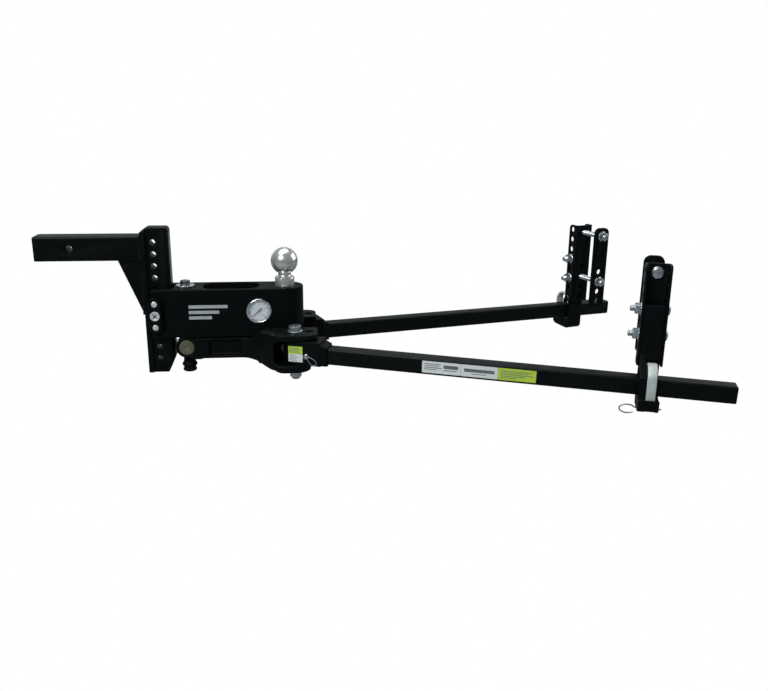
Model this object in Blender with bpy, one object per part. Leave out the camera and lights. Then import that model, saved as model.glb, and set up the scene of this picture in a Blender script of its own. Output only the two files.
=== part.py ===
"""Weight distribution hitch: drop shank, weighing ball mount, rocking yoke, two spring bars and
two frame brackets.

Lengths are millimetres until a mesh is made. Sections are drawn from the ball centre, +X towards
the trailer, +Y to the far side, +Z up. The part's own origin is the hitch-pin hole of the shank.
"""

import math

import bmesh
import bpy
from mathutils import Matrix, Vector

for old in list(bpy.data.objects):
    bpy.data.objects.remove(old, do_unlink=True)

MM = 0.001
GAP = 0.3  # clearance left between pieces that touch

# Shank and rail of the drawbar
PIN_HOLE_X = -443.0  # hitch-pin hole, measured from the ball centre
SHANK_Z = 32.7
SHANK = 50.8  # square section
SHANK_END_X = -514.0
PIN_HOLE_D = 16.3
RAIL_X = -298.0  # front face of the rail's flange
FLANGE_T = 10.0
WEB_END_X = -240.5
WEB_T = 38.0
RAIL_TOP_Z = 75.2
RAIL_BOTTOM_Z = -240.5
HOLE_PITCH = 25.4
HOLE_COLUMN_X = -274.0
TOP_HOLE_Z = 44.5
RAIL_HOLES = 11
RAIL_HOLE_D = 13.5
LOCKING_PIN_D = 12.7
UPPER_PIN_Z = TOP_HOLE_Z - 5 * HOLE_PITCH
LOWER_PIN_Z = TOP_HOLE_Z - 7 * HOLE_PITCH
LOCK_Z = (UPPER_PIN_Z + LOWER_PIN_Z) / 2
GUSSET_START_X = -347.0
GUSSET_END_Z = -115.0

# Ball mount
BODY_HALF = 39.5
BODY_TOP_Z = -53.2
BODY_BOTTOM_Z = -158.0
BODY_END_X = -283.0
SLOT_X = (-175.6, -56.0)
SLOT_HALF = 32.0
SLOT_R = 26.0
SLOT_FLOOR_Z = -130.0
BALL_R = 58.74 / 2
COLLAR_D = 42.4
PISTON_D = 51.4
BORE_D = 52.0
BORE_FLOOR_Z = -132.0
GAUGE_X = -56.0
GAUGE_Z = -101.8
BEZEL_D = 54.0
DIAL_D = 45.2

# Tension bolt, barrel nut and yoke
BOLT_X = -213.5
BOLT_D = 16.0
NUT_Z = -181.5
NUT_D = 32.0
PIVOT_Z = -183.0
PIVOT_D = 25.0
YOKE_HALF = 36.0
EAR_X = (-41.0, 68.0)
EAR_Z = (-221.5, -138.0)
EAR_Y = (44.0, 112.0)
EAR_CORNER = 42.0
CAVITY_X = -25.5
CAVITY_Y = 52.5
CAVITY_Z = (-205.0, -152.0)

# Spring bars and their trunnions
SWING_X = 20.0
SWING_Y = 79.0
BAR_Z = -182.6  # bar axis at the trunnion bolt
SPLAY = 0.3137  # plan angle of each bar to the hitch's centre line
DROOP = 0.0221
BAR = 35.0
BAR_START = 18.0
BAR_END = 890.0
TRUNNION_BOLT_D = 19.0
TRUNNION_HEX = 24.0
BLOCK_HALF = 25.4
BLOCK_END = 62.0
COLLAR_END = 76.0
LOCK_PIN_S = 33.0

# Frame brackets, placed along the bars, heights from the bar's axis
BRACKET_S = {"near": 725.8, "far": 772.4}
KEEPER_S = {"near": 3.0, "far": -9.0}
BRACKET_LIFT = {"near": 4.0, "far": -2.0}  # channel, plate and bolts against the hook
CHANNEL_W = 50.0
CHANNEL_T = 4.8
CHANNEL_E = (-40.0, -10.0)  # offsets from the bar's axis, positive away from the trailer frame
CHANNEL_Z = (31.6, 232.4)
FLANGE_HOLES = 8
SIDE_BOLT_HOLES = (3, 5)
PLATE_E = (-112.0, -104.0)
PLATE_W = 41.0
PLATE_Z = (33.6, 235.0)
BRACKET_BOLT_D = 12.5
BOLT_HOLE_D = 13.4
CLAMP_Z = (98.6, 214.2)
HANGER_W = 39.8
HANGER_E = (-34.9, -11.3)
HANGER_Z = (43.2, 158.2)
SHELF_TOP_Z = -21.9
LIP_E = 42.0
CLIP_E = 33.0
CLIP_Z = -37.4
CLIP_D = 3.0
RING_S = 38.5  # finger ring of the clip, an ellipse beyond the hanger
RING_DROP = 2.7
RING_SIZE = (15.0, 8.7)

FINISHES = {
    "black": ((0.020, 0.024, 0.025), 0.0, 0.42),
    "zinc": ((0.72, 0.74, 0.76), 1.0, 0.30),
    "ivory": ((0.62, 0.64, 0.60), 0.6, 0.45),
    "stainless": ((0.70, 0.69, 0.66), 1.0, 0.16),
    "chrome": ((0.85, 0.86, 0.88), 1.0, 0.08),
    "steel": ((0.50, 0.49, 0.42), 0.9, 0.50),
    "rubber": ((0.015, 0.015, 0.016), 0.0, 0.75),
    "dial": ((0.62, 0.70, 0.76), 0.0, 0.40),
    "glass": ((0.85, 0.90, 0.92), 0.0, 0.05),
    "bronze": ((0.45, 0.30, 0.14), 1.0, 0.40),
    "pad": ((0.10, 0.07, 0.05), 0.0, 0.85),
}


# ---------------------------------------------------------------- outlines


def arc(cx, cy, radius, start, end, steps):
    """Points on a circle from one angle to another, in degrees."""
    angles = [math.radians(start + (end - start) * i / steps) for i in range(steps + 1)]
    return [(cx + radius * math.cos(a), cy + radius * math.sin(a)) for a in angles]


def rounded(x0, y0, x1, y1, radii, steps=4):
    """Rectangle with its own radius at each corner, from the lower left, anticlockwise."""
    if not isinstance(radii, (tuple, list)):
        radii = (radii,) * 4
    corners = ((x0, y0, 180), (x1, y0, 270), (x1, y1, 0), (x0, y1, 90))
    points = []
    for (x, y, start), radius in zip(corners, radii):
        if radius <= 0:
            points.append((x, y))
            continue
        cx = x + radius if x == x0 else x - radius
        cy = y + radius if y == y0 else y - radius
        points += arc(cx, cy, radius, start, start + 90, steps)
    return points


def stadium(x, y0, y1, radius, steps=6):
    """Upright slot shape around two centres on one column."""
    return arc(x, y1, radius, 0, 180, steps) + arc(x, y0, radius, 180, 360, steps)


# ------------------------------------------------------------------ solids


def finish_mesh(mesh_builder, label="shape"):
    bmesh.ops.recalc_face_normals(mesh_builder, faces=mesh_builder.faces)
    mesh = bpy.data.meshes.new(label)
    mesh_builder.to_mesh(mesh)
    mesh_builder.free()
    shape = bpy.data.objects.new(label, mesh)
    bpy.context.scene.collection.objects.link(shape)
    return shape


def along(axis, a, b, height):
    """Outline coordinates and a height to XYZ, for a prism standing on that axis."""
    if axis == "X":
        return (height, a, b)
    if axis == "Y":
        return (a, height, b)
    return (a, b, height)


def prism(outline, low, high, axis="Z"):
    """Outline extruded along an axis: X takes (y, z), Y takes (x, z), Z takes (x, y)."""
    builder = bmesh.new()
    bottom = [builder.verts.new(Vector(along(axis, a, b, low)) * MM) for a, b in outline]
    face = builder.faces.new(bottom)
    extruded = bmesh.ops.extrude_face_region(builder, geom=[face])
    moved = [v for v in extruded["geom"] if isinstance(v, bmesh.types.BMVert)]
    step = Vector(along(axis, 0, 0, high - low)) * MM
    bmesh.ops.translate(builder, verts=moved, vec=step)
    return finish_mesh(builder)


def box(x0, x1, y0, y1, z0, z1):
    return prism([(x0, y0), (x1, y0), (x1, y1), (x0, y1)], z0, z1)


def rod(a, b, diameter, low, high, axis="Z", sides=16):
    outline = arc(a, b, diameter / 2, 0, 360 - 360 / sides, sides - 1)
    return prism(outline, low, high, axis)


def bore(a, b, diameter, low, high, axis="Z", sides=12):
    """Cutter for a round hole: its flats lie on the stated diameter, so a shaft keeps its play."""
    return rod(a, b, diameter / math.cos(math.pi / sides), low, high, axis, sides)


def hexagon(a, b, across_flats, low, high, axis="Z", turn=0):
    outline = arc(a, b, across_flats / math.sqrt(3), turn, turn + 300, 5)
    return prism(outline, low, high, axis)


def turned(profile, centre, axis="Z", sides=16):
    """Closed (radius, height) profile spun about an axis through the centre."""
    builder = bmesh.new()
    ring = [builder.verts.new(Vector((r, 0, h)) * MM) for r, h in profile]
    edges = [builder.edges.new((ring[i], ring[(i + 1) % len(ring)])) for i in range(len(ring))]
    bmesh.ops.spin(
        builder, geom=ring + edges, cent=(0, 0, 0), axis=(0, 0, 1),
        angle=2 * math.pi, steps=sides, use_merge=True, use_duplicate=False,
    )
    bmesh.ops.remove_doubles(builder, verts=builder.verts, dist=1e-6)
    if axis == "Y":
        builder.transform(Matrix.Rotation(math.pi / 2, 4, "X"))
    elif axis == "X":
        builder.transform(Matrix.Rotation(math.pi / 2, 4, "Y"))
    builder.transform(Matrix.Translation(Vector(centre) * MM))
    return finish_mesh(builder)


def wire(points, diameter, closed=False, sides=6):
    """Round wire swept along points, its ends capped unless it closes on itself."""
    builder = bmesh.new()
    path = [Vector(p) * MM for p in points]
    count = len(path)
    side_way = None
    rings = []
    for i, here in enumerate(path):
        before = path[i - 1] if closed or i else here
        after = path[(i + 1) % count] if closed or i < count - 1 else here
        heading = (after - before).normalized()
        guess = side_way if side_way is not None else Vector((0, 1, 0))
        side_way = (guess - heading * guess.dot(heading)).normalized()
        up_way = heading.cross(side_way)
        rings.append([
            builder.verts.new(here + (side_way * math.cos(a) + up_way * math.sin(a)) * diameter * MM / 2)
            for a in (2 * math.pi * k / sides for k in range(sides))
        ])
    for i in range(count if closed else count - 1):
        one, two = rings[i], rings[(i + 1) % count]
        for k in range(sides):
            builder.faces.new((one[k], one[(k + 1) % sides], two[(k + 1) % sides], two[k]))
    if not closed:
        builder.faces.new(rings[0])
        builder.faces.new(rings[-1])
    return finish_mesh(builder)


def hull(points):
    builder = bmesh.new()
    for p in points:
        builder.verts.new(Vector(p) * MM)
    made = bmesh.ops.convex_hull(builder, input=builder.verts)
    spare = [g for g in made["geom_interior"] if isinstance(g, bmesh.types.BMVert)]
    bmesh.ops.delete(builder, geom=spare, context="VERTS")
    bmesh.ops.dissolve_limit(builder, angle_limit=0.001, verts=builder.verts, edges=builder.edges)
    return finish_mesh(builder)


def combined(base, others, operation):
    """Base shape with the others joined to it or cut from it."""
    for other in others:
        modifier = base.modifiers.new("shape", "BOOLEAN")
        modifier.operation = operation
        modifier.solver = "EXACT"
        modifier.object = other
        bpy.context.view_layer.update()
        graph = bpy.context.evaluated_depsgraph_get()
        mesh = bpy.data.meshes.new_from_object(base.evaluated_get(graph))
        base.modifiers.clear()
        base.data = mesh
        bpy.data.objects.remove(other, do_unlink=True)
        welded(mesh)
    return base


def welded(mesh):
    """Close the hairline seams that a Boolean can leave."""
    builder = bmesh.new()
    builder.from_mesh(mesh)
    bmesh.ops.remove_doubles(builder, verts=builder.verts, dist=5e-6)
    bmesh.ops.dissolve_degenerate(builder, edges=builder.edges, dist=5e-6)
    builder.to_mesh(mesh)
    builder.free()


def join(base, *others):
    return combined(base, others, "UNION")


def cut(base, *others):
    return combined(base, others, "DIFFERENCE")


# ------------------------------------------------------- scene bookkeeping

FRAMES = {}


def frame(name, location, parent=None, turn=0.0):
    """Empty that carries a group of pieces; a moving group's empty is on its joint's axis."""
    empty = bpy.data.objects.new(name, None)
    bpy.context.scene.collection.objects.link(empty)
    empty.empty_display_size = 0.02
    start = FRAMES[parent]["at"] if parent else Vector((0, 0, 0))
    empty.parent = FRAMES[parent]["empty"] if parent else None
    empty.location = (Vector(location) - start) * MM
    empty.rotation_euler = (0, 0, turn)
    # A turned frame starts its own coordinates, so what hangs on it is drawn from its origin.
    FRAMES[name] = {"empty": empty, "at": Vector((0, 0, 0)) if turn else Vector(location)}
    return name


def piece(name, shape, group, finish):
    """Name a shape, hang it on its group's empty and give it its own material."""
    origin = FRAMES[group]["at"]
    shape.data.transform(Matrix.Translation(-origin * MM))
    shape.name = name
    shape.data.name = name
    shape.parent = FRAMES[group]["empty"]
    shape.data.shade_smooth()
    shape.data.set_sharp_from_angle(angle=math.radians(35))
    colour, metallic, roughness = FINISHES[finish]
    material = bpy.data.materials.new(name + "_" + finish)
    material.use_nodes = True
    shader = material.node_tree.nodes["Principled BSDF"]
    shader.inputs["Base Color"].default_value = (*colour, 1.0)
    shader.inputs["Metallic"].default_value = metallic
    shader.inputs["Roughness"].default_value = roughness
    shape.data.materials.clear()
    shape.data.materials.append(material)
    return shape


# ----------------------------------------------------------------- drawbar


def make_drawbar(group):
    half = SHANK / 2
    shank = prism(
        rounded(-half, SHANK_Z - half, half, SHANK_Z + half, 3.0, 3), SHANK_END_X, RAIL_X - GAP, "X"
    )
    shank = cut(shank, bore(PIN_HOLE_X, SHANK_Z, PIN_HOLE_D, -half - 5, half + 5, "Y", 24))
    piece("drawbar_shank", shank, group, "black")

    shank_bottom = SHANK_Z - half - GAP
    gusset = [(GUSSET_START_X, shank_bottom), (RAIL_X - GAP, shank_bottom), (RAIL_X - GAP, GUSSET_END_Z)]
    piece("drawbar_gusset", prism(gusset, -WEB_T / 2, WEB_T / 2, "Y"), group, "black")

    flange = prism(
        rounded(-half, RAIL_BOTTOM_Z, half, RAIL_TOP_Z - 2, (3, 3, 7, 7)), RAIL_X, RAIL_X + FLANGE_T, "X"
    )
    web_plan = rounded(RAIL_X + 2, -WEB_T / 2, WEB_END_X, WEB_T / 2, (0, 8, 8, 0))
    web = prism(web_plan, RAIL_BOTTOM_Z, RAIL_TOP_Z)
    chamfer_width, chamfer_height = 16.0, 33.0
    corner = [
        (WEB_END_X - chamfer_width, RAIL_BOTTOM_Z - 1),
        (WEB_END_X + 5, RAIL_BOTTOM_Z - 1),
        (WEB_END_X + 5, RAIL_BOTTOM_Z + chamfer_height + 12),
    ]
    top_round = 9.0
    top = arc(WEB_END_X - top_round, RAIL_TOP_Z - top_round, top_round, 0, 90, 5)
    top_corner = top + [(WEB_END_X + 5, RAIL_TOP_Z + 5)]
    front_top = [(RAIL_X - 1, RAIL_TOP_Z + 1), (RAIL_X + 14, RAIL_TOP_Z + 1), (RAIL_X - 1, RAIL_TOP_Z - 9)]
    rail = join(flange, web)
    rail = cut(
        rail,
        prism(corner, -half, half, "Y"),
        prism(top_corner, -half, half, "Y"),
        prism(front_top, -half - 5, half + 5, "Y"),
    )
    for index in range(RAIL_HOLES):
        z = TOP_HOLE_Z - index * HOLE_PITCH
        rail = cut(rail, bore(HOLE_COLUMN_X, z, RAIL_HOLE_D, -40, 40, "Y", 10))
    piece("drawbar_rail", rail, group, "black")


# -------------------------------------------------------------- ball mount


def make_ball_mount(group):
    plan = [(BODY_END_X, -BODY_HALF)] + arc(0, 0, BODY_HALF, -90, 90, 14) + [(BODY_END_X, BODY_HALF)]
    body = prism(plan, BODY_BOTTOM_Z, BODY_TOP_Z)
    lug_r = 20.0
    lug = prism(
        [(lug_r, BODY_BOTTOM_Z + 6), (-lug_r, BODY_BOTTOM_Z + 6)] + arc(0, PIVOT_Z, lug_r, 180, 360, 8),
        -21, 21, "Y",
    )
    body = join(body, lug)
    rail_slot = box(BODY_END_X - 5, WEB_END_X + 3, -WEB_T / 2 - 0.5, WEB_T / 2 + 0.5, -170, -40)
    pocket = prism(
        rounded(SLOT_X[0], -SLOT_HALF, SLOT_X[1], SLOT_HALF, SLOT_R, 4), SLOT_FLOOR_Z, BODY_TOP_Z + 5
    )
    ball_bore = bore(0, 0, BORE_D, BORE_FLOOR_Z, BODY_TOP_Z + 5, sides=20)
    gauge_bore = bore(GAUGE_X, GAUGE_Z, 50.6, -BODY_HALF - 5, -17.5, "Y", 20)
    lock_recess = prism(
        stadium(HOLE_COLUMN_X, LOWER_PIN_Z, UPPER_PIN_Z, 21.5), -BODY_HALF - 5, -BODY_HALF + 3, "Y"
    )
    body = cut(
        body, rail_slot, pocket, ball_bore, gauge_bore, lock_recess,
        bore(BOLT_X, 0, BOLT_D + 1, -170, -40),
        bore(BOLT_X, 0, 32.6, -165, -136, sides=16),
        bore(0, PIVOT_Z, PIVOT_D + 0.6, -30, 30, "Y", 16),
        bore(HOLE_COLUMN_X, UPPER_PIN_Z, RAIL_HOLE_D, -60, 60, "Y", 10),
        bore(HOLE_COLUMN_X, LOWER_PIN_Z, RAIL_HOLE_D, -60, 60, "Y", 10),
    )
    piece("ball_mount_body", body, group, "black")

    gland = turned([(21.7, -66), (25.7, -66), (25.7, -53.6), (21.7, -53.6)], (0, 0, 0), sides=20)
    piece("ball_gland_ring", gland, group, "black")
    bush = turned([(8.5, -158), (16, -158), (16, -147), (8.5, -147)], (BOLT_X, 0, 0))
    piece("thrust_bush", bush, group, "bronze")
    washer = turned([(9.2, -52.9), (20, -52.9), (20, -50.2), (9.2, -50.2)], (BOLT_X, 0, 0))
    piece("tension_washer", washer, group, "zinc")
    piece("yoke_pivot_pin", rod(0, PIVOT_Z, PIVOT_D, -52, 52, "Y"), group, "steel")


def make_gauge(group, needle_group):
    face = -BODY_HALF
    centre = (GAUGE_X, 0, GAUGE_Z)
    case_profile = [(0, 18), (25, 18), (25, -face - 0.2), (23, -face - 0.2), (23, 34.8), (0, 34.8)]
    case = turned(case_profile, centre, "Y", 20)
    piece("gauge_case", case, group, "steel")
    dial = turned([(0, 35.1), (DIAL_D / 2, 35.1), (DIAL_D / 2, 36.3), (0, 36.3)], centre, "Y", 20)
    piece("gauge_dial", dial, group, "dial")
    bezel = turned(
        [(22.6, 39.8), (BEZEL_D / 2, 39.8), (BEZEL_D / 2, 41.2), (25.6, 42.8), (23.6, 42.8), (22.6, 42)],
        centre, "Y", 20,
    )
    piece("gauge_bezel", bezel, group, "chrome")
    lens = turned([(0, 39.8), (22.2, 39.8), (22.2, 41), (0, 41)], centre, "Y", 20)
    piece("gauge_lens", lens, group, "glass")

    hub = rod(0, 0, 5, -38.9, -36.7, "Y", 12)
    blade = prism([(-17.5, -0.4), (9, -1.6), (9, 1.6), (-17.5, 0.4)], -38.4, -37.4, "Y")
    needle = join(hub, blade)
    needle.data.transform(Matrix.Rotation(math.radians(-42), 4, "Y"))
    needle.data.transform(Matrix.Translation(Vector(centre) * MM))
    piece("gauge_needle", needle, needle_group, "black")


def make_ball(group):
    neck, collar = 13.9, COLLAR_D / 2
    below_neck = 180 - math.degrees(math.asin(neck / BALL_R))
    sphere = [
        (BALL_R * math.sin(math.radians(a)), BALL_R * math.cos(math.radians(a)))
        for a in (below_neck * (1 - i / 9) for i in range(10))
    ]
    profile = [
        (0, -74), (collar - 3, -74), (collar - 3, -60), (collar, -58), (collar, -36), (collar - 2, -34),
        (neck + 1.6, -33), (neck, -31),
    ]
    ball = turned(profile + sphere, (0, 0, 0), sides=20)
    wrench_flat = 20.0
    for side in (-1, 1):
        ball = cut(ball, box(-40, 40, side * wrench_flat, side * (wrench_flat + 10), -50, -29))
    piece("tow_ball", ball, group, "stainless")
    radius = PISTON_D / 2
    piston = turned(
        [(0, -129), (radius, -129), (radius, -106), (radius - 3, -106), (radius - 3, -101), (radius, -101),
         (radius, -80), (20, -74.3), (0, -74.3)],
        (0, 0, 0), sides=20,
    )
    piece("ball_piston", piston, group, "steel")
    seal = turned(
        [(radius - 2.7, -105.7), (radius, -105.7), (radius, -101.3), (radius - 2.7, -101.3)],
        (0, 0, 0), sides=20,
    )
    piece("piston_seal", seal, group, "rubber")


# -------------------------------------------------------- pins and key lock


def make_locking(pins, plate, key):
    for label, z in (("upper", UPPER_PIN_Z), ("lower", LOWER_PIN_Z)):
        radius = LOCKING_PIN_D / 2
        profile = [(0, -52.5), (radius, -52.5), (radius, 46.6), (radius - 1, 47.6), (0, 47.6)]
        pin = turned(profile, (HOLE_COLUMN_X, 0, z), "Y", 14)
        piece(label + "_hitch_pin", pin, pins, "stainless")
    handle = prism(stadium(HOLE_COLUMN_X, LOWER_PIN_Z, UPPER_PIN_Z, 15.0), 40.2, 50.5, "Y")
    handle = cut(
        handle,
        bore(HOLE_COLUMN_X, UPPER_PIN_Z, RAIL_HOLE_D, 30, 60, "Y", 14),
        bore(HOLE_COLUMN_X, LOWER_PIN_Z, RAIL_HOLE_D, 30, 60, "Y", 14),
    )
    piece("pin_handle_plate", handle, pins, "black")

    lock_outline = stadium(HOLE_COLUMN_X, LOWER_PIN_Z, UPPER_PIN_Z, 13.5)
    lock = cut(
        prism(lock_outline, -46.8, -BODY_HALF + 2.7, "Y"),
        bore(HOLE_COLUMN_X, UPPER_PIN_Z, RAIL_HOLE_D, -60, -30, "Y", 14),
        bore(HOLE_COLUMN_X, LOWER_PIN_Z, RAIL_HOLE_D, -60, -30, "Y", 14),
        bore(HOLE_COLUMN_X, LOCK_Z, 20.6, -60, -39, "Y", 16),
    )
    piece("lock_plate", lock, plate, "black")
    cylinder_profile = [(0, 39.4), (10, 39.4), (10, 48.3), (9, 49.3), (0, 49.3)]
    cylinder = turned(cylinder_profile, (HOLE_COLUMN_X, 0, LOCK_Z), "Y")
    for turn in (45, -45):
        groove = box(-6, 6, -55, -48.4, -0.9, 0.9)
        groove.data.transform(Matrix.Rotation(math.radians(turn), 4, "Y"))
        groove.data.transform(Matrix.Translation(Vector((HOLE_COLUMN_X, 0, LOCK_Z)) * MM))
        cylinder = cut(cylinder, groove)
    piece("lock_cylinder", cylinder, key, "chrome")


# ------------------------------------------------- tension bolt, nut, yoke


def make_tension(bolt_group, nut_group):
    radius = BOLT_D / 2
    shaft = turned(
        [(0, -238), (radius - 1, -238), (radius, -237), (radius, -145.9), (14, -145.9), (14, -138),
         (radius, -138), (radius, -49.8), (10.5, -49.8), (10.5, -48), (0, -48)],
        (BOLT_X, 0, 0),
    )
    head = hexagon(BOLT_X, 0, 18.4, -49, -40.6, turn=15)
    piece("tension_bolt", join(shaft, head), bolt_group, "steel")

    nut = rod(BOLT_X, NUT_Z, NUT_D, -35.6, 35.6, "Y", 18)
    nut = cut(nut, bore(BOLT_X, 0, 18.6, -210, -150))
    piece("barrel_nut", nut, nut_group, "steel")
    inner, neck = 9.3, 10.6
    boot = turned(
        [(inner, -244), (12, -244), (14.6, -241.5), (14.6, -238.5), (12.8, -233.5), (16.2, -229.5),
         (16.2, -226.5), (12.5, -222), (12.5, -213), (neck, -211.8), (neck, -199), (inner, -199)],
        (BOLT_X, 0, 0),
    )
    piece("dust_boot", boot, nut_group, "rubber")


def make_yoke(group):
    boss = rod(BOLT_X, NUT_Z, 47, -YOKE_HALF, YOKE_HALF, "Y", 20)
    neck = box(BOLT_X + 6, -182, -YOKE_HALF, YOKE_HALF, -209.5, -163)
    beam = box(-190, -20, -YOKE_HALF, YOKE_HALF, -207, -161)
    # The beam flares to the ears both sideways and in height.
    sweep = [(-98, 35), (-86, 38), (-75, 43.5), (-65.5, 52), (-57.5, 62.5), (-50.5, 74), (-42.5, 85), (-33, 94.5)]
    flare_plan = [(x, -y) for x, y in sweep] + [(-10, -94.5), (-10, 94.5)] + sweep[::-1]
    flare_side = [
        (-110, -206.8), (-84, -207.6), (-64, -209.6), (-50, -212), (-38, -215.4), (-28, -218.8), (-18, -221),
        (-5, -221.5), (-5, -138), (-38, -138), (-50, -140.5), (-61, -146.5), (-72, -155), (-82, -160.5),
        (-110, -162),
    ]
    flare = combined(prism(flare_plan, -225, -130), [prism(flare_side, -120, 120, "Y")], "INTERSECT")
    centre = box(-60, 32, -CAVITY_Y, CAVITY_Y, -216, -166)
    yoke = join(boss, neck, beam)
    side_recess = rounded(-166, -200, -84, -167, 5, 3)
    yoke = cut(
        yoke,
        prism(side_recess, -YOKE_HALF - 5, -29, "Y"),
        prism(side_recess, 29, YOKE_HALF + 5, "Y"),
    )
    under_body = box(-120, 10, -BODY_HALF - 3, BODY_HALF + 3, -161, -130)
    yoke = join(yoke, cut(flare, under_body), centre)
    for side in (-1, 1):
        inner, outer = side * EAR_Y[0], side * EAR_Y[1]
        ear = prism(
            rounded(EAR_X[0], EAR_Z[0], EAR_X[1], EAR_Z[1], (34, 0, 0, 22), 5),
            min(inner, outer), max(inner, outer), "Y",
        )
        plan = rounded(EAR_X[0] - 1, 0, EAR_X[1], EAR_Y[1], (0, 0, 20, EAR_CORNER), 6)
        frame_cut = box(-60, 90, 20, 140, -228, -130)
        keep = prism(plan, -230, -125)
        frame_cut = cut(frame_cut, keep)
        # The lower ear is round about the trunnion bolt.
        round_end = (
            [(SWING_X, 46), (90, 46), (90, 130), (SWING_X, 130)]
            + arc(SWING_X, SWING_Y, 33, 90, -90, 8)[:-1]
        )
        lower_cut = prism(round_end, -228, -190)
        if side < 0:
            for tool in (frame_cut, lower_cut):
                tool.data.transform(Matrix.Scale(-1, 4, (0, 1, 0)))
                tool.data.flip_normals()
        yoke = join(yoke, cut(ear, frame_cut, lower_cut))
    for side in (-1, 1):
        cavity = prism(
            rounded(CAVITY_X, CAVITY_Z[0], 90, CAVITY_Z[1], (12, 0, 0, 12), 3),
            min(side * CAVITY_Y, side * 140), max(side * CAVITY_Y, side * 140), "Y",
        )
        yoke = cut(
            yoke, cavity,
            bore(SWING_X, side * SWING_Y, TRUNNION_BOLT_D + 0.6, -230, -120, sides=16),
            rod(50, side * 77, 17, -155, -130, sides=12),
        )
    top_cavity = prism(rounded(-168, -21, -45, 21, 8, 3), -199, -140)
    yoke = cut(
        yoke, top_cavity,
        box(-24, 24, -21.6, 21.6, -220, -140),
        bore(0, PIVOT_Z, PIVOT_D + 0.6, -60, 60, "Y", 16),
        bore(BOLT_X, NUT_Z, NUT_D + 0.6, -60, 60, "Y", 18),
        prism(rounded(BOLT_X - 14, -11.2, BOLT_X + 14, 11.2, 5, 3), -215, -150),
    )
    piece("yoke", yoke, group, "black")

    for label, side in (("near", -1), ("far", 1)):
        y = side * SWING_Y
        radius = TRUNNION_BOLT_D / 2
        shaft = turned(
            [(0, -242), (radius - 1.2, -242), (radius, -240.8), (radius, -137.7), (16, -137.7), (16, -135.2),
             (0, -135.2)],
            (SWING_X, y, 0),
        )
        head = hexagon(SWING_X, y, TRUNNION_HEX, -136, -124.5, turn=10)
        piece(label + "_trunnion_bolt", join(shaft, head), group, "zinc")
        nut = hexagon(SWING_X, y, TRUNNION_HEX, -237, EAR_Z[0] - GAP, turn=25)
        nut = cut(nut, bore(SWING_X, y, TRUNNION_BOLT_D + 0.6, -240, -210, sides=16))
        piece(label + "_trunnion_nut", nut, group, "zinc")


# -------------------------------------------------------------- spring bars


def make_bar(label, side, bar_group, pin_group):
    """Trunnion block, spring bar and lock pin, in the bar's own frame: x along, y outboard times side."""
    tilt = Matrix.Rotation(DROOP, 4, "Y")
    low, high = CAVITY_Z[0] + 0.4 - BAR_Z, CAVITY_Z[1] - 0.4 - BAR_Z
    plan = [(BLOCK_END, BLOCK_HALF)] + arc(0, 0, BLOCK_HALF, 90, 270, 10) + [(BLOCK_END, -BLOCK_HALF)]
    block = prism(plan, low, high)
    end_drop = -COLLAR_END * DROOP
    collar = hull(
        [(BLOCK_END - 1, y, z) for y in (-BLOCK_HALF + 0.5, BLOCK_HALF - 0.5) for z in (low + 0.5, high - 6)]
        + [(COLLAR_END, y, z) for y in (-20.5, 20.5) for z in (end_drop - 20.5, end_drop + 20.5)]
    )
    block = join(block, collar)
    socket = box(BAR_START - 0.5, 120, -BAR / 2 - 0.3, BAR / 2 + 0.3, -BAR / 2 - 0.3, BAR / 2 + 0.3)
    socket.data.transform(tilt)
    pin_y = sorted((0, side * 40))
    block = cut(
        block, socket,
        bore(0, 0, TRUNNION_BOLT_D + 0.6, -40, 50, sides=16),
        bore(LOCK_PIN_S, 0, 8.6, *pin_y, "Y", 12),
    )
    piece(label + "_trunnion_block", block, bar_group, "black")

    section = rounded(-BAR / 2, -BAR / 2, BAR / 2, BAR / 2, 4.5, 3)
    bar = prism(section, BAR_START, BAR_END, "X")
    pin_y = sorted((side * 9, side * 40))
    bar.data.transform(tilt)
    bar = cut(bar, bore(LOCK_PIN_S, 0, 8.6, *pin_y, "Y", 12))
    piece(label + "_spring_bar", bar, bar_group, "black")

    profile = [(0, 9.6), (3.2, 9.6), (4, 10.6), (4, 25.8), (5.6, 25.8), (5.6, 31.5), (4.6, 32.8), (0, 32.8)]
    profile = [(r, -side * h) for r, h in profile]
    pin = turned(profile, (LOCK_PIN_S, 0, 0), "Y", 12)
    loop_length, loop_width, turn = 27.0, 12.0, math.radians(-40)
    loop = []
    for i in range(16):
        t = 2 * math.pi * i / 16
        u = loop_length * (1 - math.cos(t)) / 2
        v = loop_width * 0.65 * math.sin(t) * math.sin(t / 2)
        loop.append((
            LOCK_PIN_S + u * math.cos(turn) - v * math.sin(turn),
            side * 29.0,
            u * math.sin(turn) + v * math.cos(turn),
        ))
    piece(label + "_bar_lock_pin", join(pin, wire(loop, 1.9, closed=True, sides=5)), pin_group, "zinc")


# ---------------------------------------------------------- frame brackets


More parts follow.
